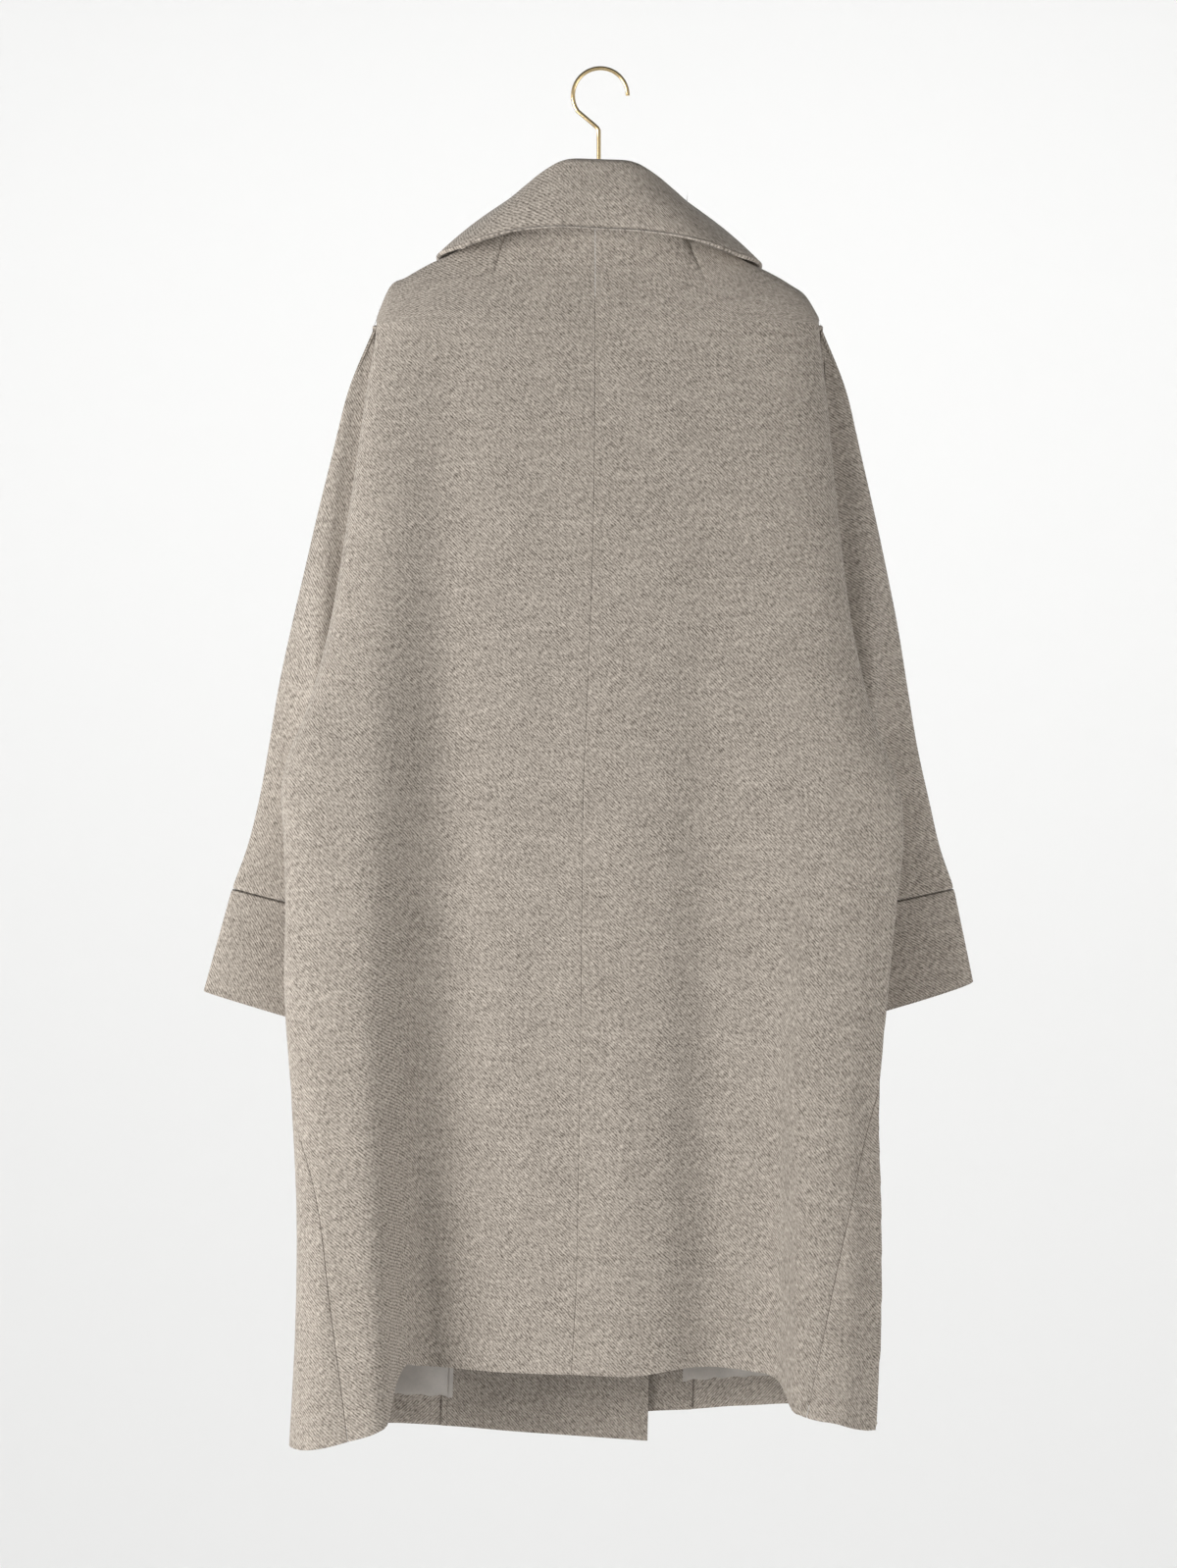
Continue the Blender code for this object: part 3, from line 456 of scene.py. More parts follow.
def armhole_behind(share, at_front):
    """How far behind the side fold an armhole's edge lies, from its top to the underarm."""
    open_by = math.sin(math.pi * share)
    drift = UNDERARM_BEHIND * (1 - math.cos(math.pi * share)) / 2
    return drift + (ARMHOLE_BEHIND + (2 * ARMHOLE_HALF if at_front else 0)) * open_by


def edge_place(side, z, at_front):
    """Angle of a panel's side edge: the armhole above the underarm, and the side seam below it."""
    if z > UNDERARM_Z + 1e-6:
        drop = np.clip((TIP_Z - z) / (TIP_Z - UNDERARM_Z), 0, 1)
        behind = armhole_behind(math.acos(1 - 2 * drop) / math.pi, at_front)
    else:
        behind = -float(read(SIDE_SEAMS, z, SIDE_COLUMN[side]))
    return side_place(side, z, behind + (HALF_GAP if at_front else -HALF_GAP))


def lap_lift(side, x, z):
    """How far the right front stands off, where it lies over the left."""
    if side == LEFT:
        return np.zeros_like(x)
    under_edge = LAP_HALF + lean(z) + LAP_LIFT_MARGIN
    across = ease((under_edge + LAP_LIFT_EASE - x) / LAP_LIFT_EASE)
    return LAP_LIFT * across * ease((LAP_LIFT_TOP_Z - z) / LAP_LIFT_RISE)


# %% Heights of the hem
HEM_BACK = (
    # x, z
    (-296, -1318),
    (-285, -1319),
    (-265, -1316),
    (-240, -1309),
    (-218, -1299),
    (-205, -1289),
    (-192, -1255),
    (-180, -1242),
    (-165, -1244),
    (-105, -1248),
    (-10, -1250),
    (30, -1251),
    (80, -1245),
    (110, -1245),
    (145, -1249),
    (163, -1253),
    (170, -1258),
    (176, -1269),
    (182, -1283),
    (193, -1290),
    (206, -1294),
    (225, -1297),
    (245, -1303),
    (262, -1306),
    (270, -1304),
)
HEM_LEFT_FRONT = (
    # x, z
    (-296, -1318),
    (-260, -1314),
    (-190, -1312),
    (-140, -1318),
    (-100, -1323),
    (0, -1331),
    (60, -1335),
)
HEM_RIGHT_FRONT = (
    # x, z
    (-120, -1313),
    (0, -1309),
    (50, -1306),
    (90, -1303),
    (140, -1297),
    (195, -1292),
    (235, -1298),
    (270, -1304),
)


def hem_z(side, turn, at_back_panel):
    """Height of the hem under a point of the ring."""
    x = flat_x(turn, PLAIN_HEM_Z)
    before = read(HEM_LEFT_FRONT if side == LEFT else HEM_RIGHT_FRONT, x, 1)
    return np.where((np.cos(turn) > 0) | at_back_panel, read(HEM_BACK, x, 1), before)


# %% [markdown]
# ## Cloth from a grid
# A panel is a grid whose rows go down the coat. Its cells are about five millimetres wide, and finer beside
# a seam, where the thick wool rolls inwards before the stitches. `create_grid` gives the cells, extruding
# it gives the cloth its thickness, and a small bevel turns the cut edge into a rounded fold.

# %% Cells of the grid
SEAM_STEPS = (0.0, 0.0010, 0.0022, 0.0038, 0.0062)


def marks(length, cells, fine_start=True, fine_end=True):
    """Distances along a stretch of cloth, finer beside its seams."""
    start = np.array(SEAM_STEPS if fine_start else (0.0,))
    end = np.array(SEAM_STEPS if fine_end else (0.0,))
    between = np.linspace(start[-1], length - end[-1], cells + 1)[1:-1]
    return np.concatenate([start, between, (length - end)[::-1]])


def evenly(z, stops, cells):
    """Angles and lengths of a panel's columns at one height: the stops, with each stretch cut into cells."""
    turn, length, _ = tape(z)
    at = np.interp(stops, turn, length)
    found = [at[:1]]
    for start, end, count in zip(at[:-1], at[1:], cells):
        way = 1 if end > start else -1
        found.append(start + way * marks(abs(end - start), count)[1:])
    found = np.concatenate(found)
    return np.interp(found, length, turn), found


# %% Make the cloth
WOOL_RIM, BACK_RIM, FACING_RIM, LINING_RIM, COLLAR_RIM = 0.0008, 0.0003, 0.0005, 0.0003, 0.0013
MERGE = 1e-6
CORNER_ANGLE = 1.0


def cloth(name, outer, inner, lengths, rim=WOOL_RIM):
    """A wall of cloth through the outer and the inner points, with a map in metres of cloth."""
    rows, columns = outer.shape[:2]
    outer, inner = outer.reshape(-1, 3), inner.reshape(-1, 3)
    lengths = lengths.reshape(-1, 2)
    bm = bmesh.new()
    bmesh.ops.create_grid(bm, x_segments=columns - 1, y_segments=rows - 1, size=1)
    number = bm.verts.layers.int.new("number")
    weave = bm.loops.layers.uv.new("cloth")
    for i, vert in enumerate(bm.verts):
        vert[number] = i
        vert.co = outer[i]
    for face in bm.faces:
        for loop in face.loops:
            loop[weave].uv = lengths[loop.vert[number]]
    bmesh.ops.remove_doubles(bm, verts=bm.verts, dist=MERGE)
    made = bmesh.ops.extrude_face_region(bm, geom=bm.faces[:])
    for vert in made["geom"]:
        if isinstance(vert, bmesh.types.BMVert):
            vert.co = inner[vert[number]]
    bmesh.ops.recalc_face_normals(bm, faces=bm.faces)
    corners = [e for e in bm.edges if len(e.link_faces) == 2 and e.calc_face_angle() > CORNER_ANGLE]
    bmesh.ops.bevel(bm, geom=corners, offset=rim, affect="EDGES", segments=2, profile=0.5, material=-1)
    mesh = bpy.data.meshes.new(name)
    bm.to_mesh(mesh)
    bm.free()
    mesh.shade_smooth()
    return add_object(name, mesh)


def cut_size(outer):
    """Width, length and area of the flat cloth."""
    across = np.linalg.norm(np.diff(outer, axis=1), axis=-1).sum(axis=1)
    down = np.linalg.norm(np.diff(outer, axis=0), axis=-1).sum(axis=0)
    one = np.cross(outer[1:, 1:] - outer[:-1, :-1], outer[1:, :-1] - outer[:-1, 1:])
    area = float(np.linalg.norm(one, axis=-1).sum() / 2)
    return float(across.max()), float(down.max()), area


def down_lengths(outer):
    """Lengths of cloth from the top of each column."""
    steps = np.linalg.norm(np.diff(outer, axis=0), axis=-1)
    return np.concatenate([np.zeros((1, outer.shape[1])), np.cumsum(steps, axis=0)])


def straight_weave(outer, lengths):
    """The cloth's own map: its grain runs straight down along the piece's last column."""
    across = down_lengths(outer.transpose(1, 0, 2)).T
    across = (across - across[:, -1:]) * np.sign(lengths[:, -1:] - lengths[:, :1])
    down = np.broadcast_to(down_lengths(outer)[:, -1:], across.shape)
    return np.stack([across, -down], axis=-1)


# %% [markdown]
# ## The back
# Two panels meet at the centre back seam. A neck dart in each shapes the cloth over the shoulder blade: it
# shows as a short groove that comes out from under the collar and runs to nothing. One column of the grid
# follows the dart's line, so that the groove can be narrow.

# %% Columns and rows of a panel
YOKE_ROWS = (0.0, 0.012, 0.03, 0.06, 0.10, 0.15, 0.21, 0.28, 0.35, 0.43, 0.51, 0.60, 0.69, 0.79, 0.89)
ARMHOLE_ROWS, SKIRT_ROWS = 84, 108
BACK_CELLS = {LEFT: (34, 14), RIGHT: (34, 16)}
FRONT_CELLS = (34, 3, 38)
LINING_LAP = 0.010
DART_LINES = {
    LEFT: (
        # z, x
        (-140, -86),
        (-162, -91),
        (-184, -98),
        (-207, -102),
        (-400, -106),
        (-1320, -100),
    ),
    RIGHT: (
        # z, x
        (-140, 80),
        (-172, 88),
        (-190, 98),
        (-213, 107),
        (-400, 104),
        (-1320, 100),
    ),
}
YOKE_MIDDLE_Z = -0.150


def back_columns(side, z, line_z):
    dart = back_place(z, float(read(DART_LINES[side], line_z, 1)))
    seam = back_place(z, float(read(BACK_SEAM, z, 1)), side * HALF_GAP)
    stops = [edge_place(side, z, False), dart, seam]
    return evenly(z, stops, BACK_CELLS[side])


def front_columns(side, z, line_z):
    edge_x = -side * LAP_HALF + lean(z)
    seam_x = edge_x + side * FACING_WIDTH
    stops = [
        edge_place(side, z, True),
        front_place(side, z, seam_x),
        front_place(side, z, seam_x - side * LINING_LAP),
        front_place(side, z, edge_x),
    ]
    return evenly(z, stops, FRONT_CELLS)


def own_top_z(side, x, is_back):
    """Height of a panel's own upper edge. A front goes on level past the centre, under or over the other."""
    past = (not is_back) & (np.asarray(x) * side < 0)
    return np.where(past, NECK_FRONT_Z, top_z(x, is_back))


def panel_grid(side, is_back):
    """Angles, heights and cloth lengths of a panel's points."""
    columns = back_columns if is_back else front_columns
    rows = []
    for share in YOKE_ROWS:
        turn, length = columns(side, TIP_Z, YOKE_MIDDLE_Z + (TIP_Z - YOKE_MIDDLE_Z) * share)
        ridge = own_top_z(side, flat_x(turn, TIP_Z), is_back)
        rows.append((turn, ridge + (TIP_Z - ridge) * share, length))
    for share in np.linspace(0, 1, ARMHOLE_ROWS + 1):
        z = TIP_Z + (UNDERARM_Z - TIP_Z) * share
        turn, length = columns(side, z, z)
        rows.append((turn, np.full(len(turn), z), length))
    drop = UNDERARM_Z - PLAIN_HEM_Z
    for mark in marks(drop, SKIRT_ROWS, fine_start=False)[1:]:
        z = UNDERARM_Z - mark
        turn, length = columns(side, z, z)
        hem = hem_z(side, turn, is_back)
        rows.append((turn, UNDERARM_Z + (hem - UNDERARM_Z) * mark / drop, length))
    return [np.array(part) for part in zip(*rows)]


# %% Roll the edges in, and press the dart
SEAM_ROLL, SEAM_ROLL_WIDTH = 0.0008, 0.0030
BACK_ROLL, BACK_ROLL_WIDTH = 0.0002, 0.0012
INNER_ROLL = 0.7
DART_DEPTH, DART_WIDTH = 0.0019, 0.0017
DART_END_Z, DART_FADE = -0.214, 0.040


def from_edges(lengths):
    """How far each point lies from the two long edges of its piece."""
    low = np.abs(lengths - lengths[:, :1])
    return low, np.abs(lengths - lengths[:, -1:])


def panel_normals(turns, heights, is_back):
    """Outward directions of a panel. Along the shoulder seam both walls stand alike, so that they meet."""
    normals = body_normal(turns, heights)
    x = body(turns[0], heights[0])[:, 0]
    slope = (shoulder_z(x + 0.001) - shoulder_z(x - 0.001)) / 0.002
    ridge = unit(np.stack([-slope, np.zeros_like(slope), np.ones_like(slope)], axis=-1))
    along = (-1.0 if is_back else 1.0) * NECK_BACK * (NECK_SIDE_TURN + neck_bow(x))
    neck = unit(np.stack([x, along, 0 * x], axis=-1))
    normals[0] = np.where((np.abs(x) < NECK_HALF)[:, None], neck, ridge)
    return normals


def make_back(side, word):
    turns, heights, lengths = panel_grid(side, True)
    outer, out = body(turns, heights), panel_normals(turns, heights, True)
    near_side, near_middle = from_edges(lengths)
    sink = SEAM_ROLL * bell(near_side, SEAM_ROLL_WIDTH) + BACK_ROLL * bell(near_middle, BACK_ROLL_WIDTH)
    dart = len(marks(1, BACK_CELLS[side][0])) - 1
    along = ease((heights - DART_END_Z) / DART_FADE)
    sink = sink + DART_DEPTH * bell(np.abs(lengths - lengths[:, dart : dart + 1]), DART_WIDTH) * along
    inner = outer - WOOL * out
    outer = outer - sink[..., None] * out
    inner[1:] = inner[1:] - (INNER_ROLL * sink[1:])[..., None] * out[1:]
    weave = straight_weave(outer, lengths)
    return cloth(f"coat_back_{word}", outer, inner, weave, BACK_RIM), cut_size(outer)


made = {}
for side, word in SIDES:
    made[f"back_{word}"] = make_back(side, word)
    print("back", word, [round(n, 3) for n in made[f"back_{word}"][1]])

# %% [markdown]
# ## The fronts, their facings and the lining
# Each front wraps round its side as far as the side seam, which the coat's twist brings into view near the
# hem. The right front laps over the left. Inside the edge lies a facing of the same wool, and the satin
# lining is sewn to it with its own hem, a little higher than the coat's.

# %% Fronts and facings
FACING_ROW = len(YOKE_ROWS)
FACING_COLUMN = len(marks(1, FRONT_CELLS[0])) - 1


def make_front(side, word):
    turns, heights, lengths = panel_grid(side, False)
    outer, out = body(turns, heights), panel_normals(turns, heights, False)
    outer = outer + out * lap_lift(side, outer[..., 0], heights)[..., None]
    plain = outer.copy()
    near_side, _ = from_edges(lengths)
    sink = SEAM_ROLL * bell(near_side, SEAM_ROLL_WIDTH)
    inner = outer - WOOL * out
    outer = outer - sink[..., None] * out
    weave = straight_weave(outer, lengths)
    front = cloth(f"coat_front_{word}", outer, inner, weave)
    rows, columns = slice(FACING_ROW, None), slice(FACING_COLUMN, None)
    panel, away = plain[rows, columns], out[rows, columns]
    face = panel - (WOOL + SEAM_GAP) * away
    mirrored = weave[rows, columns] * (-1, 1)
    facing = cloth(f"coat_facing_{word}", face, face - FACING_CLOTH * away, mirrored, FACING_RIM)
    return (front, cut_size(outer)), (facing, cut_size(face))


for side, word in SIDES:
    made[f"front_{word}"], made[f"facing_{word}"] = make_front(side, word)
    print("front", word, [round(n, 3) for n in made[f"front_{word}"][1]])

# %% Lining
LINING_RISE = 0.029
LINING_HEIGHT = 0.150
LINING_OFF = 0.0006
LINING_ROWS, LINING_CELLS = 40, 17
LINING_WAVE, LINING_WAVE_LENGTH = 0.0011, 0.021


def make_lining(side, word):
    """The lining's lowest strip. It hangs free of the front and laps over the facing's seam."""
    off = WOOL + SEAM_GAP + FACING_CLOTH + LINING_OFF
    start = FACING_COLUMN - LINING_CELLS - len(SEAM_STEPS)
    end = FACING_COLUMN + len(marks(1, FRONT_CELLS[1]))
    rows = []
    for share in np.linspace(0, 1, LINING_ROWS + 1):
        above_hem = LINING_RISE + LINING_HEIGHT * (1 - share)
        plain_z = PLAIN_HEM_Z + above_hem
        turn, length = front_columns(side, plain_z, plain_z)
        turn, length = turn[start:end], length[start:end]
        z = hem_z(side, turn, False) + above_hem
        wave = np.sin(length / LINING_WAVE_LENGTH * 2 * math.pi + side)
        rows.append((turn, z + LINING_WAVE * wave * share**4, length))
    turns, heights, lengths = (np.array(part) for part in zip(*rows))
    out = body_normal(turns, heights)
    outer = body(turns, heights)
    outer = outer + out * (lap_lift(side, outer[..., 0], heights) - off)[..., None]
    weave = straight_weave(outer, lengths)
    lining = cloth(f"coat_lining_{word}", outer, outer - LINING_CLOTH * out, weave, LINING_RIM)
    return lining, cut_size(outer)


for side, word in SIDES:
    made[f"lining_{word}"] = make_lining(side, word)

# %% [markdown]
# ## Sleeves
# A wide sleeve is set into a deep armhole and hangs down beside the coat, pressed flat by its own weight.
# Its rings start on the armhole and turn into flat ovals towards the cuff. Where a ring would touch the
# coat's side, both of its layers move out together.

# %% Lines of the sleeves
RING = 96
SLEEVE_TOP = (
    # z, left, right
    (-243, 215, 212),
    (-307, 242, 238),
    (-365, 257, 252),
    (-422, 272, 266),
    (-479, 286, 279),
    (-536, 300, 291),
    (-594, 313, 301),
    (-651, 323, 311),
    (-708, 334, 324),
    (-750, 345, 334),
    (-790, 360, 348),
)
UNDERARM = {
    LEFT: ((-304, -692), (-268, -768), (-199, -830)),
    RIGHT: ((288, -692), (256, -764), (187, -824)),
}
CUFF_HEM = {LEFT: ((-388, -891), (-225, -939)), RIGHT: ((367, -882), (207, -929))}
CUFF_FAR_DROP = {LEFT: 0.0, RIGHT: 0.005}
SLEEVE_DEPTH = (
    # share, middle, half_thickness
    (0.0, -4, 20),
    (0.2, 8, 21),
    (0.5, 34, 20),
    (0.8, 54, 18),
    (1.0, 62, 18),
)
CUFF_SWELL = 1.04
RING_SQUARENESS = 0.8
CUFF_GAP = 0.0005
SLEEVE_CLEARANCE, SEAM_CLEARANCE = 0.005, 0.002
ARMHOLE_FADE, CLEARANCE_FADE = 0.4, 0.1
PUSH_STEPS = 6
ring_angle = 2 * math.pi * np.arange(RING + 1) / RING


# %% Rings of a sleeve
def armhole_loop(side):
    """The sleeve's first ring: down the armhole's back edge and up its front edge, just off the panels."""
    ring = []
    for k, angle in enumerate(ring_angle):
        share = (1 - math.cos(angle)) / 2
        z = TIP_Z + (UNDERARM_Z - TIP_Z) * share
        at_front = k > RING / 2
        ends = k in (0, RING, RING // 2)
        z_row = min(z, TIP_Z - 1e-6)
        behind = armhole_behind(math.acos(np.clip(1 - 2 * share, -1, 1)) / math.pi, at_front)
        inwards = 0 if ends else (-1 if at_front else 1) * (HALF_GAP + SEAM_GAP)
        turn = side_place(side, z_row, behind + inwards)
        lift = 4 if k in (0, RING) else 1
        ring.append(body(turn, z_row) + body_normal(turn, z_row) * SEAM_GAP * lift)
    return np.array(ring)


def along_line(points, share):
    """A point on a smooth curve through the points, at a share of its length."""
    length = line_lengths(points)
    at = share * length[-1]
    return np.stack([smooth(at, length, points[:, i]) for i in range(points.shape[1])], axis=-1)


def flat_ring(upper, under, middle, half, swell=1.0):
    """A flattened ring between two points (x, z): down its back to the lower point and up its front."""
    across = (1 - np.cos(ring_angle)) / 2
    thick = np.sign(np.sin(ring_angle)) * np.abs(np.sin(ring_angle)) ** RING_SQUARENESS
    xz = upper + (under - upper) * across[:, None]
    return np.stack([xz[:, 0], middle - half * swell * thick, xz[:, 1]], axis=-1)


def push_clear(ring, clearance):
    """Moves both layers of a sleeve out where its ring would come within the clearance of the coat's side."""
    ring = ring.copy()
    for _ in range(PUSH_STEPS):
        z = ring[:, 2]
        half = half_width(ring[:, 0], z) + clearance
        behind_side = ring[:, 1] - level(z, 5)
        depth = np.where(behind_side > 0, level(z, 4), level(z, 3)) + clearance
        across, along = ring[:, 0] / half, behind_side / depth
        inside = np.clip(1 - across**2 - along**2, 0, 1)
        slope = np.stack([2 * across / half, 2 * along / depth, 0 * z], axis=-1)
        move = slope * (inside / np.sum(slope**2, axis=-1))[:, None]
        other = move[::-1]
        further = np.linalg.norm(other, axis=-1) > np.linalg.norm(move, axis=-1)
        ring += np.where(further[:, None], other, move)
    return ring


def sleeve_rings(side, shares):
    upper = np.stack([side * column(SLEEVE_TOP, SIDE_COLUMN[side]), column(SLEEVE_TOP, 0)], axis=-1)
    under = np.array(UNDERARM[side], float) * MM
    depth_at = [row[0] for row in SLEEVE_DEPTH]

    def plain(share):
        middle = float(smooth(share, depth_at, column(SLEEVE_DEPTH, 1)))
        half = float(smooth(share, depth_at, column(SLEEVE_DEPTH, 2)))
        return flat_ring(along_line(upper, share), along_line(under, share), middle, half)

    offset = armhole_loop(side) - plain(0.0)
    rings = []
    for share in shares:
        ring = plain(share) + offset * (1 - ease(share / ARMHOLE_FADE))
        if share > 0:
            more = (SLEEVE_CLEARANCE - SEAM_CLEARANCE) * ease(share / CLEARANCE_FADE)
            ring = push_clear(ring, SEAM_CLEARANCE + more)
        rings.append(ring)
    return np.array(rings)


def cuff_rings(side, start, shares):
    """The cuff goes on from the sleeve's last ring, a seam's gap away."""
    hem_upper, hem_under = np.array(CUFF_HEM[side], float) * MM
    middle = start[:, 1].mean()
    half = (start[:, 1].max() - start[:, 1].min()) / 2
    end = push_clear(flat_ring(hem_upper, hem_under, middle, half, CUFF_SWELL), SLEEVE_CLEARANCE)
    end[:, 2] -= np.clip((end[:, 1] - middle) / half, 0, 1) * CUFF_FAR_DROP[side]
    return np.array([start + (end - start) * share for share in shares])


def ring_normals(rings):
    """Outward directions of a tube's rings. In the first ring they point away from the armhole's middle."""
    down = np.gradient(rings, axis=0)
    before, after = np.roll(rings[:, :-1], 1, axis=1), np.roll(rings[:, :-1], -1, axis=1)
    round_it = after - before
    round_it = np.concatenate([round_it, round_it[:, :1]], axis=1)
    out = unit(np.cross(round_it, down))
    middle = rings[:, :-1].mean(axis=1, keepdims=True)
    out = out * math.copysign(1, np.sum(out * (rings - middle), axis=-1).mean())
    upright = np.stack([0 * ring_angle, 0 * ring_angle, WOOL * np.cos(ring_angle)], axis=-1)
    out[0] = unit((rings[0] - rings[0][::-1]) / 2 + upright)
    return out


# %% Sew the sleeves and cuffs
SLEEVE_LENGTH, SLEEVE_CELLS = 0.58, 100
CUFF_LENGTH, CUFF_CELLS = 0.105, 14


def tube_weave(side, rings):
    """The map of a flat tube: its two layers lie in one plane and turn over at the upper edge."""
    top = SLEEVE_TOP[0]
    down = unit(np.array(CUFF_HEM[side][0], float) - (side * top[SIDE_COLUMN[side]], top[0]))
    right = np.array([-down[1], down[0]])
    flat = rings[..., ::2]
    across, along = flat @ right, flat @ down
    edge = across[:, :1]
    front = np.arange(RING + 1) > RING / 2
    return np.stack([np.where(front, 2 * edge - across, across), -along], axis=-1)


def make_sleeve(side, word):
    sleeve_marks = marks(SLEEVE_LENGTH, SLEEVE_CELLS)
    cuff_marks = marks(CUFF_LENGTH, CUFF_CELLS)
    rings = sleeve_rings(side, sleeve_marks / SLEEVE_LENGTH)
    cuff_shares = np.maximum(cuff_marks, CUFF_GAP) / CUFF_LENGTH
    cuff = cuff_rings(side, rings[-1], cuff_shares)
    out = ring_normals(np.concatenate([rings, cuff[1:]]))
    out_sleeve, out_cuff = out[: len(rings)], out[len(rings) - 1 :]
    results = []
    for piece, points, away, from_seam in (
        ("sleeve", rings, out_sleeve, sleeve_marks[-1] - sleeve_marks),
        ("cuff", cuff, out_cuff, cuff_marks),
    ):
        roll = SEAM_ROLL * bell(from_seam, SEAM_ROLL_WIDTH)
        outer = points - roll[:, None, None] * away
        _, length, area = cut_size(outer)
        size = cut_size(outer[-2:])[0], length, area
        weave = tube_weave(side, outer)
        results.append((cloth(f"coat_{piece}_{word}", outer, points - WOOL * away, weave), size))
    return results


for side, word in SIDES:
    made[f"sleeve_{word}"], made[f"cuff_{word}"] = make_sleeve(side, word)
    print("sleeve", word, [round(n, 3) for n in made[f"sleeve_{word}"][1]])

# %% [markdown]
# ## Collar
# The collar stands up inside the neck, rolls over and falls on the shoulders. Its sections are placed round
# the neck: each goes up the stand, over a small roll and down the fall to the outer edge.

# %% Sections of the collar
COLLAR = (
    # neck_turn, roll_x, roll_y, roll_z, edge_x, edge_y, edge_z, right_drop
    (0, 0, -38, -92, 0, -52, -161, 0),
    (20, 31, -36, -92, 40, -52, -159, 4),
    (38, 50, -31, -101, 77, -50, -161.5, 6),
    (54, 65, -24, -112, 106, -43, -166, 7),
    (70, 77, -12, -120.5, 133, -29, -173, 8),
    (90, 86, 3, -127, 156, 0, -177, 8),
    (101, 86, 13, -134, 158, 13, -181, 8),
    (112, 84, 22, -143, 153, 28, -193, 8),
    (134, 68, 36, -166, 120, 46, -233, 6),
    (156, 43, 44, -183, 76, 54, -265, 3),
    (176, 16, 47, -192, 30, 58, -284, 0),
)
ROLL_DROP = 0.5
ROLL_RADIUS = 0.0085
FALL_BULGE = 0.0025
COLLAR_SEAT = 0.0018
COLLAR_STATIONS = 72
STAND_CELLS, ROLL_CELLS, FALL_CELLS = 8, 12, 14
STITCH_IN = 0.0034
GROOVE_DEPTH, GROOVE_WIDTH = 0.0006, 0.0011
# Distances from the outer edge, close enough together to hold the groove
EDGE_STEPS = (0.0072, 0.0056, 0.0046, 0.0040, 0.0034, 0.0028, 0.0022, 0.0012, 0.0)


def collar_section(neck, roll, edge):
    """Points up the stand, over the roll and down to the outer edge, on the side of the cloth that shows."""
    out = edge[:2] - neck[:2]
    out = out / max(np.linalg.norm(out), 1e-9)
    centre = roll - np.array([0, 0, ROLL_RADIUS])

    def place(o, z):
        return centre + np.array([out[0] * o, out[1] * o, z])

    reach = float(np.dot(edge[:2] - centre[:2], out))
    fall = edge[2] - centre[2]
    distance = math.hypot(reach, fall)
    leave = math.atan2(fall, reach) + math.acos(min(ROLL_RADIUS / distance, 1))
    start = place(-ROLL_RADIUS, 0)
    points = [neck + (start - neck) * k / STAND_CELLS for k in range(STAND_CELLS)]
    for k in range(ROLL_CELLS + 1):
        angle = math.pi + (leave - math.pi) * k / ROLL_CELLS
        points.append(place(ROLL_RADIUS * math.cos(angle), ROLL_RADIUS * math.sin(angle)))
    drop = edge - points[-1]
    across = np.array([out[0] * -drop[2], out[1] * -drop[2], math.hypot(*drop[:2])])
    across = across / np.linalg.norm(across)
    start, length = points[-1], np.linalg.norm(drop)
    at = np.linspace(0, length - EDGE_STEPS[0], FALL_CELLS + 1)[1:-1]
    for d in [*at, *(length - n for n in EDGE_STEPS)]:
        share = d / length
        groove = GROOVE_DEPTH * bell(length - d - STITCH_IN, GROOVE_WIDTH)
        points.append(start + drop * share + across * (FALL_BULGE * math.sin(math.pi * share) - groove))
    return np.array(points)


def neck_edge(side):
    """The neck edges of the back and the front on one side."""
    edges = []
    for is_back in (True, False):
        turns, heights, _ = panel_grid(side, is_back)
        points, out = body(turns[:1], heights[:1]), body_normal(turns[:1], heights[:1])
        if not is_back:
            points = points + out * lap_lift(side, points[..., 0], heights[:1])[..., None]
        edges.append(points[0][np.argsort(points[0][:, 0])])
    return edges


# %% Roll the collar over
def collar_station(side, turn, back_edge, front_edge):
    """The neck, roll and edge points of the collar at one angle round the neck."""
    turns = [row[0] for row in COLLAR]
    drop = float(smooth(turn, turns, column(COLLAR, 7))) if side == RIGHT else 0
    at = [float(smooth(turn, turns, column(COLLAR, k))) for k in range(1, 7)]
    roll = np.array([side * at[0], at[1], at[2] - drop * ROLL_DROP])
    edge = np.array([side * at[3], at[4], at[5] - drop])
    x = side * NECK_HALF * math.sin(math.radians(turn))
    line = back_edge if turn < 90 else front_edge
    y, z = (float(np.interp(x, line[:, 0], line[:, i])) for i in (1, 2))
    neck = np.array([x, y, z + COLLAR_SEAT])
    inwards = unit(np.array([-neck[0], -neck[1] * 2, 0]))
    return neck + inwards * (COLLAR_CLOTH + WOOL) / 2, roll, edge


def collar_points():
    last = COLLAR[-1][0]
    turns = np.linspace(0, last, COLLAR_STATIONS + 1)
    left, right = neck_edge(LEFT), neck_edge(RIGHT)
    stations = [collar_section(*collar_station(LEFT, turn, *left)) for turn in turns[:0:-1]]
    stations += [collar_section(*collar_station(RIGHT, turn, *right)) for turn in turns]
    return np.array(stations)


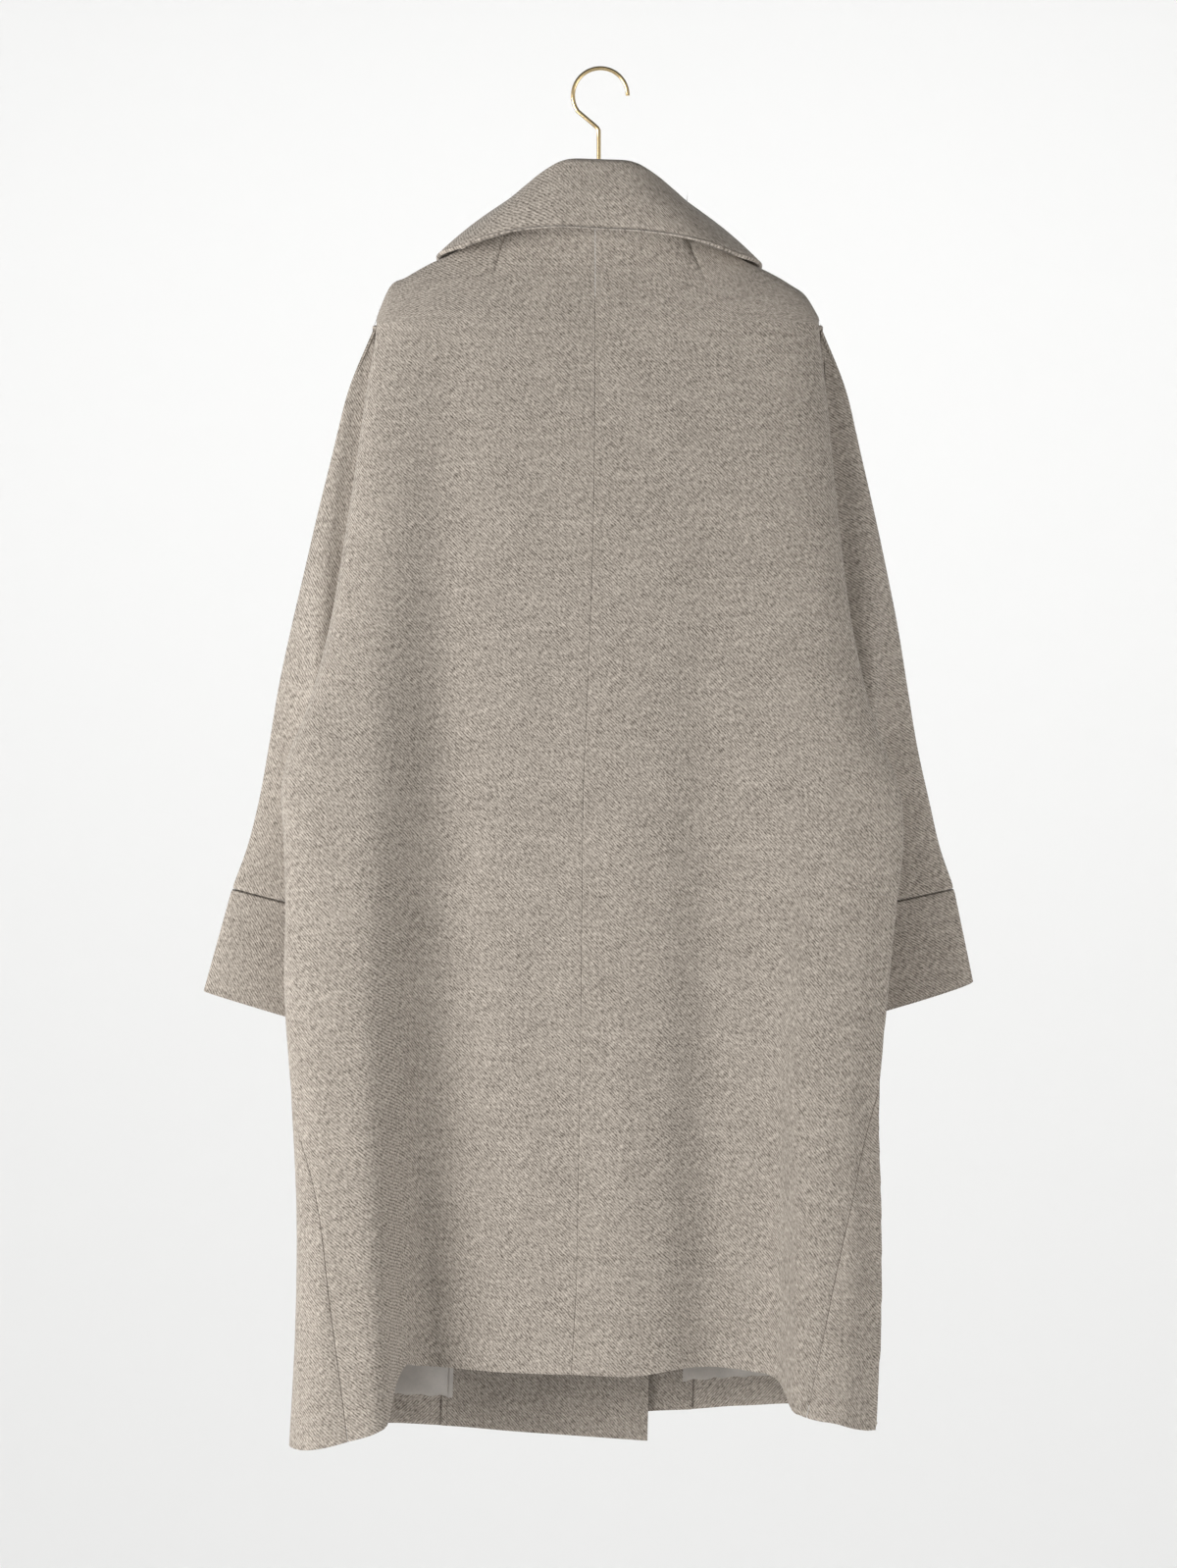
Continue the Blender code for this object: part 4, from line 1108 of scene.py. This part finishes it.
def make_collar():
    outer = collar_points()
    out = unit(np.cross(np.gradient(outer, axis=0), np.gradient(outer, axis=1)))
    out = out * math.copysign(1, out[COLLAR_STATIONS, STAND_CELLS + ROLL_CELLS // 2, 2])
    seam = np.gradient(outer[:, 0], axis=0)
    level_out = unit(np.stack([-seam[:, 1], seam[:, 0], 0 * seam[:, 0]], axis=-1))
    out[:, 0] = level_out * math.copysign(1, np.sum(level_out * out[:, 0]))
    fall = STAND_CELLS + ROLL_CELLS + FALL_CELLS // 2
    across = down_lengths(outer[:, fall : fall + 1])
    down = down_lengths(outer.transpose(1, 0, 2)).T
    weave = np.stack(np.broadcast_arrays(across, -down), axis=-1)
    obj = cloth("coat_collar", outer, outer - COLLAR_CLOTH * out, weave, COLLAR_RIM)
    width, length, area = cut_size(outer)
    return (obj, (length, width, area)), outer, out


made["collar"], collar_outer, collar_out = make_collar()
print("collar", [round(n, 3) for n in made["collar"][1]])

# %% [markdown]
# ## Topstitching
# A row of stitches runs round the collar's outer edge and presses it flat. Each stitch is a short length of
# thread that dips into the wool at both ends. A drawn-out ball with few faces has that form, so the balls
# are laid in a row along the groove that the collar already has, all in one mesh.

# %% Stitch the collar's edge
STITCH_LENGTH, STITCH_STEP = 0.0031, 0.0040
THREAD_RADIUS = 0.00034
STITCH_ROW = -5


def finish_mesh(name, bm, angle=40):
    mesh = bpy.data.meshes.new(name)
    bm.to_mesh(mesh)
    bm.free()
    mesh.shade_smooth()
    mesh.set_sharp_from_angle(angle=math.radians(angle))
    return add_object(name, mesh)


def at_length(d, at, line):
    """The point of a line at a length along it."""
    return np.array([np.interp(d, at, line[:, i]) for i in range(3)])


def stitch_row(name, line, out):
    """Stitches along a line of points, standing on the side that the outward directions give."""
    at = line_lengths(line)
    half = STITCH_LENGTH / 2
    bm = bmesh.new()
    for d in np.arange(STITCH_STEP, at[-1] - STITCH_STEP, STITCH_STEP):
        along = unit(at_length(d + half, at, line) - at_length(d - half, at, line))
        across = unit(np.cross(at_length(d, at, out), along))
        up = np.cross(along, across)
        axes = (across * THREAD_RADIUS, up * THREAD_RADIUS, along * half, at_length(d, at, line))
        place = Matrix([*np.transpose(axes).tolist(), (0, 0, 0, 1)])
        bmesh.ops.create_uvsphere(bm, u_segments=6, v_segments=5, radius=1, matrix=place)
    bmesh.ops.recalc_face_normals(bm, faces=bm.faces)
    return finish_mesh(name, bm, 80)


stitched, standing = collar_outer[:, STITCH_ROW], collar_out[:, STITCH_ROW]
collar_stitches = stitch_row("coat_collar_stitches", stitched, standing)
print("collar stitches, faces:", len(collar_stitches.data.polygons))

# %% [markdown]
# ## Buttons
# Four horn buttons close the front, which hangs next to the wall. A button is turned on a lathe: a flat
# back, a rounded rim and a shallow dish, so its profile is spun round. It is sewn on by a shank behind it,
# so no thread shows.

# %% Turn the buttons
BUTTON_HEIGHTS = (-0.320, -0.470, -0.620, -0.770)
BUTTON_INSET = 0.032
BUTTON_STAND = 0.0009
BUTTON_PROFILE = (
    # radius, height
    (0, 0),
    (13, 0),
    (14, 1),
    (14, 2.5),
    (12.8, 3.5),
    (11.2, 3.3),
    (9.4, 2.4),
    (0, 2.3),
)


def spun(profile, steps, merge):
    """A lathe: spins a profile of radii and heights once round."""
    bm = bmesh.new()
    verts = [bm.verts.new((r, 0, z)) for r, z in profile]
    edges = [bm.edges.new(pair) for pair in zip(verts[:-1], verts[1:])]
    round_z = {"axis": (0, 0, 1), "cent": (0, 0, 0), "angle": 2 * math.pi, "steps": steps}
    bmesh.ops.spin(bm, geom=verts + edges, use_merge=True, **round_z)
    bmesh.ops.remove_doubles(bm, verts=bm.verts, dist=merge)
    return bm


def button_place(z):
    turn = front_place(RIGHT, z, -LAP_HALF + lean(z) + BUTTON_INSET)
    out = body_normal(turn, z)
    seat = body(turn, z) + out * (LAP_LIFT + BUTTON_STAND)
    turned = Vector(out).to_track_quat("Z", "Y").to_matrix().to_4x4()
    return Matrix.Translation(seat) @ turned


def make_button(number, z):
    bm = spun(np.array(BUTTON_PROFILE) * MM, 40, MERGE)
    bmesh.ops.recalc_face_normals(bm, faces=bm.faces)
    bmesh.ops.transform(bm, matrix=button_place(z), verts=bm.verts)
    return finish_mesh(f"coat_button_{number}", bm)


buttons = [make_button(i + 1, z) for i, z in enumerate(BUTTON_HEIGHTS)]

# %% [markdown]
# ## Hook
# The hanger's hook is one piece of round brass wire, bent over a rod. A curve with a round bevel makes it.

# %% Bend the hook
WIRE_RADIUS = 0.0020
HOOK_RADIUS, HOOK_CENTRE_X = 0.0264, 0.001
HOOK_TURN, HOOK_STEPS = math.radians(215), 60
HOOK_BENDS = ((-0.0047, -0.0530), (-0.0019, -0.0556))
SHANK_X, SHANK_TOP_Z, SHANK_BEND = -0.0005, -0.058, 0.006
ARM_ROOM = 0.0054


def make_hook():
    centre_z = WIRE_RADIUS - HOOK_RADIUS
    points = [
        (HOOK_CENTRE_X + HOOK_RADIUS * math.cos(a), centre_z + HOOK_RADIUS * math.sin(a))
        for a in np.linspace(0, HOOK_TURN, HOOK_STEPS)
    ]
    foot_z = float(shoulder_z(0.0)) - ARM_ROOM + SEAM_GAP
    points += [*HOOK_BENDS, *((SHANK_X, z) for z in (SHANK_TOP_Z, SHANK_TOP_Z - SHANK_BEND, foot_z))]
    curve = bpy.data.curves.new("coat_hook", "CURVE")
    curve.dimensions = "3D"
    curve.bevel_depth = WIRE_RADIUS
    curve.bevel_resolution = 6
    curve.use_fill_caps = True
    spline = curve.splines.new("POLY")
    spline.points.add(len(points) - 1)
    for point, (x, z) in zip(spline.points, points):
        point.co = (x, 0, z, 1)
    return add_object("coat_hook", curve)


hook = make_hook()

# %% [markdown]
# ## Wool
# The cloth is a heathered wool twill: light and dark fibres are mixed before spinning, so it is speckled,
# and its fine ribs run down to the right. The nodes read the cloth's own map, which is in metres, so the
# ribs keep their size over every fold. A bump lifts the ribs, and sheen gives the napped surface.

# %% Weave the wool
TWILL_PERIOD = 0.0022


class Finish:
    """A material in the making: its shader, and the nodes that feed it."""

    def __init__(self, name, inputs):
        self.material = bpy.data.materials.new(name)
        self.material.use_nodes = True
        self.tree = self.material.node_tree
        self.shader = self.tree.nodes["Principled BSDF"]
        self.feed(self.shader, inputs)

    def feed(self, node, inputs):
        """Joins sockets to a node's inputs, and sets the inputs that are plain values."""
        for socket, source in inputs:
            if isinstance(source, bpy.types.NodeSocket):
                self.tree.links.new(source, node.inputs[socket])
            else:
                node.inputs[socket].default_value = source

    def add(self, kind, inputs=(), **values):
        node = self.tree.nodes.new(kind)
        for key, value in values.items():
            setattr(node, key, value)
        self.feed(node, inputs)
        return node

    def math(self, operation, a, b=0.0, c=0.0):
        return self.add("ShaderNodeMath", ((0, a), (1, b), (2, c)), operation=operation).outputs[0]

    def noise(self, vector, scale, detail=2.0, rough=0.5):
        inputs = (("Vector", vector), ("Scale", scale), ("Detail", detail), ("Roughness", rough))
        return self.add("ShaderNodeTexNoise", inputs).outputs["Fac"]

    def weave(self):
        """The cloth's own map, in metres of cloth."""
        return self.add("ShaderNodeUVMap", uv_map="cloth").outputs["UV"]

    def mapped(self, vector, name, value):
        return self.add("ShaderNodeMapping", (("Vector", vector), (name, value))).outputs["Vector"]

    def colour(self, amount, *stops):
        """Blends between two colours, each with the amount that it is reached at."""
        ramp = self.add("ShaderNodeValToRGB", ((0, amount),))
        for element, (at, colour) in zip(ramp.color_ramp.elements, stops):
            element.position = at
            element.color = (*colour, 1)
        self.feed(self.shader, (("Base Color", ramp.outputs["Color"]),))

    def bump(self, height, strength, distance):
        inputs = (("Height", height), ("Strength", strength), ("Distance", distance))
        self.feed(self.shader, (("Normal", self.add("ShaderNodeBump", inputs).outputs["Normal"]),))


def wool(name, dark, light, bump=1.0):
    """Heathered twill between a dark and a light fibre colour."""
    nap = (("Sheen Weight", 0.15), ("Sheen Roughness", 0.5), ("Specular IOR Level", 0.15))
    nodes = Finish(name, (("Roughness", 0.95), *nap))
    weave = nodes.weave()
    ribs = nodes.mapped(weave, "Rotation", (0, 0, math.radians(-45)))
    # Fibres lie along the ribs, so their speckle is drawn out that way.
    drawn = nodes.mapped(ribs, "Scale", (1.0, 0.42, 1.0))
    wander = nodes.math("MULTIPLY", nodes.math("SUBTRACT", nodes.noise(weave, 130), 0.5), 6.0)
    parts = nodes.add("ShaderNodeSeparateXYZ", ((0, ribs),))
    phase = nodes.math("MULTIPLY_ADD", parts.outputs["X"], 2 * math.pi / TWILL_PERIOD, wander)
    rib = nodes.math("MULTIPLY_ADD", nodes.math("SINE", phase), 0.5, 0.5)
    speckle = nodes.noise(drawn, 660, 2.0, 0.7)
    tufts = nodes.noise(drawn, 330, 1.0, 0.5)
    streaks = nodes.noise(nodes.mapped(weave, "Scale", (0.22, 1.0, 1.0)), 130, 2.0, 0.55)
    clouds = nodes.noise(weave, 22, 3.0, 0.5)
    mixed = nodes.math("MULTIPLY", speckle, 0.62)
    for layer, share in ((tufts, 0.22), (streaks, 0.11), (clouds, 0.07), (rib, 0.16)):
        mixed = nodes.math("MULTIPLY_ADD", layer, share, mixed)
    nodes.colour(mixed, (0.40, dark), (0.78, light))
    height = nodes.math("MULTIPLY_ADD", rib, 0.30, nodes.math("MULTIPLY", speckle, 0.70))
    nodes.bump(height, 0.6, 0.0007 * bump)
    return nodes.material


coat_wool = wool("greige_wool", (0.115, 0.096, 0.078), (0.60, 0.535, 0.465))
# The facing is the coat's own wool, painted a little darker: painted shade for the facing that lies inside
# the coat
facing_wool = wool("facing_wool", (0.115, 0.096, 0.078), (0.56, 0.50, 0.435), 0.7)

# %% [markdown]
# ## Satin, horn, wood, brass and thread
# The lining is a fine satin: smooth, with a sheen along its threads. Horn is cloudy and takes a soft
# polish. The hanger is oiled beech with a fine grain, and the hook is satin brass.


# %% Smaller finishes
def satin():
    nodes = Finish("satin_lining", (("Roughness", 0.42), ("Sheen Weight", 0.15)))
    weave = nodes.weave()
    fine = nodes.noise(nodes.mapped(weave, "Scale", (1.0, 0.12, 1.0)), 2600, 2.0)
    soft = nodes.noise(weave, 55, 2.0)
    mixed = nodes.math("MULTIPLY_ADD", fine, 0.5, nodes.math("MULTIPLY", soft, 0.5))
    nodes.colour(mixed, (0.3, (0.36, 0.33, 0.30)), (0.7, (0.50, 0.455, 0.41)))
    nodes.bump(mixed, 0.25, 0.0003)
    return nodes.material


def streaked(name, low, high, roughness, stretch, scale, metallic=0.0, distance=0.0002):
    """A finish streaked on the object's own coordinates, such as horn, wood grain or drawn wire."""
    nodes = Finish(name, (("Roughness", roughness), ("Metallic", metallic)))
    place = nodes.add("ShaderNodeTexCoord").outputs["Object"]
    grain = nodes.noise(nodes.mapped(place, "Scale", stretch), scale, 4.0, 0.6)
    nodes.colour(grain, (0.32, low), (0.68, high))
    nodes.bump(grain, 0.3, distance)
    return nodes.material


lining_satin = satin()
horn = streaked("horn", (0.035, 0.024, 0.018), (0.16, 0.11, 0.075), 0.3, (1.0, 1.0, 2.5), 120)
beech = streaked("beech", (0.42, 0.27, 0.15), (0.62, 0.43, 0.26), 0.45, (0.12, 1.0, 1.0), 260)
thread = streaked("thread", (0.24, 0.20, 0.165), (0.36, 0.31, 0.26), 0.7, (1, 1, 1), 900)
brass = streaked("satin_brass", (0.66, 0.49, 0.25), (0.83, 0.66, 0.38), 0.26, (1, 1, 1), 500, 1.0, 0.00005)

# %% [markdown]
# ## Dress the pieces
# Each piece rides on the coat's one body and stands in for its rigid node.

# %% Dress the pieces
FINISHES = (
    # node, finish, record_slot, hangs_from
    ("back_left", coat_wool, "wool", "hanger"),
    ("back_right", coat_wool, "wool", "hanger"),
    ("front_left", coat_wool, "wool", "hanger"),
    ("front_right", coat_wool, "wool", "hanger"),
    ("sleeve_left", coat_wool, "wool", "coat_back_left"),
    ("sleeve_right", coat_wool, "wool", "coat_back_right"),
    ("cuff_left", coat_wool, "wool", "coat_sleeve_left"),
    ("cuff_right", coat_wool, "wool", "coat_sleeve_right"),
    ("collar", coat_wool, "wool", "coat_back_left"),
    ("facing_left", facing_wool, "facing_wool", "coat_front_left"),
    ("facing_right", facing_wool, "facing_wool", "coat_front_right"),
    ("lining_left", lining_satin, "lining", "coat_facing_left"),
    ("lining_right", lining_satin, "lining", "coat_facing_right"),
)


def dress(obj, finish, record_slot, *nodes):
    obj.data.materials.clear()
    obj.data.materials.append(finish)
    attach(obj, "root")
    if nodes:
        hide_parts(*nodes)


for node, finish, record_slot, hangs_from in FINISHES:
    obj, (width, length, area) = made[node]
    dress(obj, finish, record_slot, node)
for i, button in enumerate(buttons):
    dress(button, horn, "horn_button", f"button_{i + 1}")
dress(hook, brass, "brass", "hook")
dress(collar_stitches, thread, "wool")
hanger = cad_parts["hanger"]
hanger.data.materials.clear()
hanger.data.materials.append(beech)

# %% [markdown]
# ## A place to show it
# A bowl-shaped studio has no corners: the floor bends up into the wall, so every view has the same pale
# ground. Folds show by their shade, so the light comes over the back from the left, as the daylight of the
# photograph does, and a weaker one on the right fills them. The backdrop and the wall across from it each
# have a light of their own.

# %% Studio and lights
FLOOR_Z = -3.40
STUDIO = (
    # radius, height
    (0.0, FLOOR_Z),
    (5.5, FLOOR_Z),
    (6.6, FLOOR_Z + 0.25),
    (7.4, FLOOR_Z + 0.9),
    (7.8, FLOOR_Z + 2.0),
    (7.9, FLOOR_Z + 8.0),
)
COAT_MIDDLE = (0, 0, -0.75)
LIGHTS = (
    # name, place, target, size, watts
    ("window", (-3.18, -1.69, -0.75), COAT_MIDDLE, (2.0, 2.0), 155),
    ("far_side", (3.09, -1.78, -1.25), COAT_MIDDLE, (2.0, 2.0), 54),
    ("backdrop", (0.0, 2.6, 2.2), (0, 7.5, -1.5), (4.0, 1.5), 215),
    ("other_wall", (0.0, -4.4, 2.2), (0, -7.5, -1.5), (4.0, 1.5), 60),
)
ROOM_LIGHT = 0.08


def make_studio():
    studio = finish_mesh("studio", spun(STUDIO, 48, 1e-5), 80)
    subdivision = studio.modifiers.new("round", "SUBSURF")
    subdivision.levels = subdivision.render_levels = 2
    paint = Finish("studio_paint", (("Roughness", 0.9), ("Base Color", (0.86, 0.86, 0.855, 1))))
    studio.data.materials.append(paint.material)
    studio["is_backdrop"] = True


def soft_light(name, place, target, size, watts):
    light = bpy.data.lights.new(name, "AREA")
    light.shape = "RECTANGLE"
    light.size, light.size_y = size
    light.energy = watts
    obj = add_object(name, light)
    obj.location = place
    obj.rotation_euler = (Vector(target) - Vector(place)).to_track_quat("-Z", "Y").to_euler()


make_studio()
for name, place, target, size, watts in LIGHTS:
    soft_light(name, place, target, size, watts)
world = bpy.data.worlds.new("room")
bpy.context.scene.world = world
world.use_nodes = True
world.node_tree.nodes["Background"].inputs["Color"].default_value = (1, 1, 1, 1)
world.node_tree.nodes["Background"].inputs["Strength"].default_value = ROOM_LIGHT
bpy.context.scene.view_settings.view_transform = "Standard"

# %% [markdown]
# ## Size of the dressed coat
# The dressed coat has to fill the same space as the rigid one, so both boxes are written down.

# %% Print the sizes and the triangle count
visual_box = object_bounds()
for k, axis in enumerate("xyz"):
    cad = cad_box[1][k] - cad_box[0][k]
    visual = visual_box[1][k] - visual_box[0][k]
    print(axis, "rigid", round(cad * 1000, 1), "mm, dressed", round(visual * 1000, 1), "mm")
triangles = sum(len(p.vertices) - 2 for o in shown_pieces() if o.type == "MESH" for p in o.data.polygons)
print("triangles:", triangles)
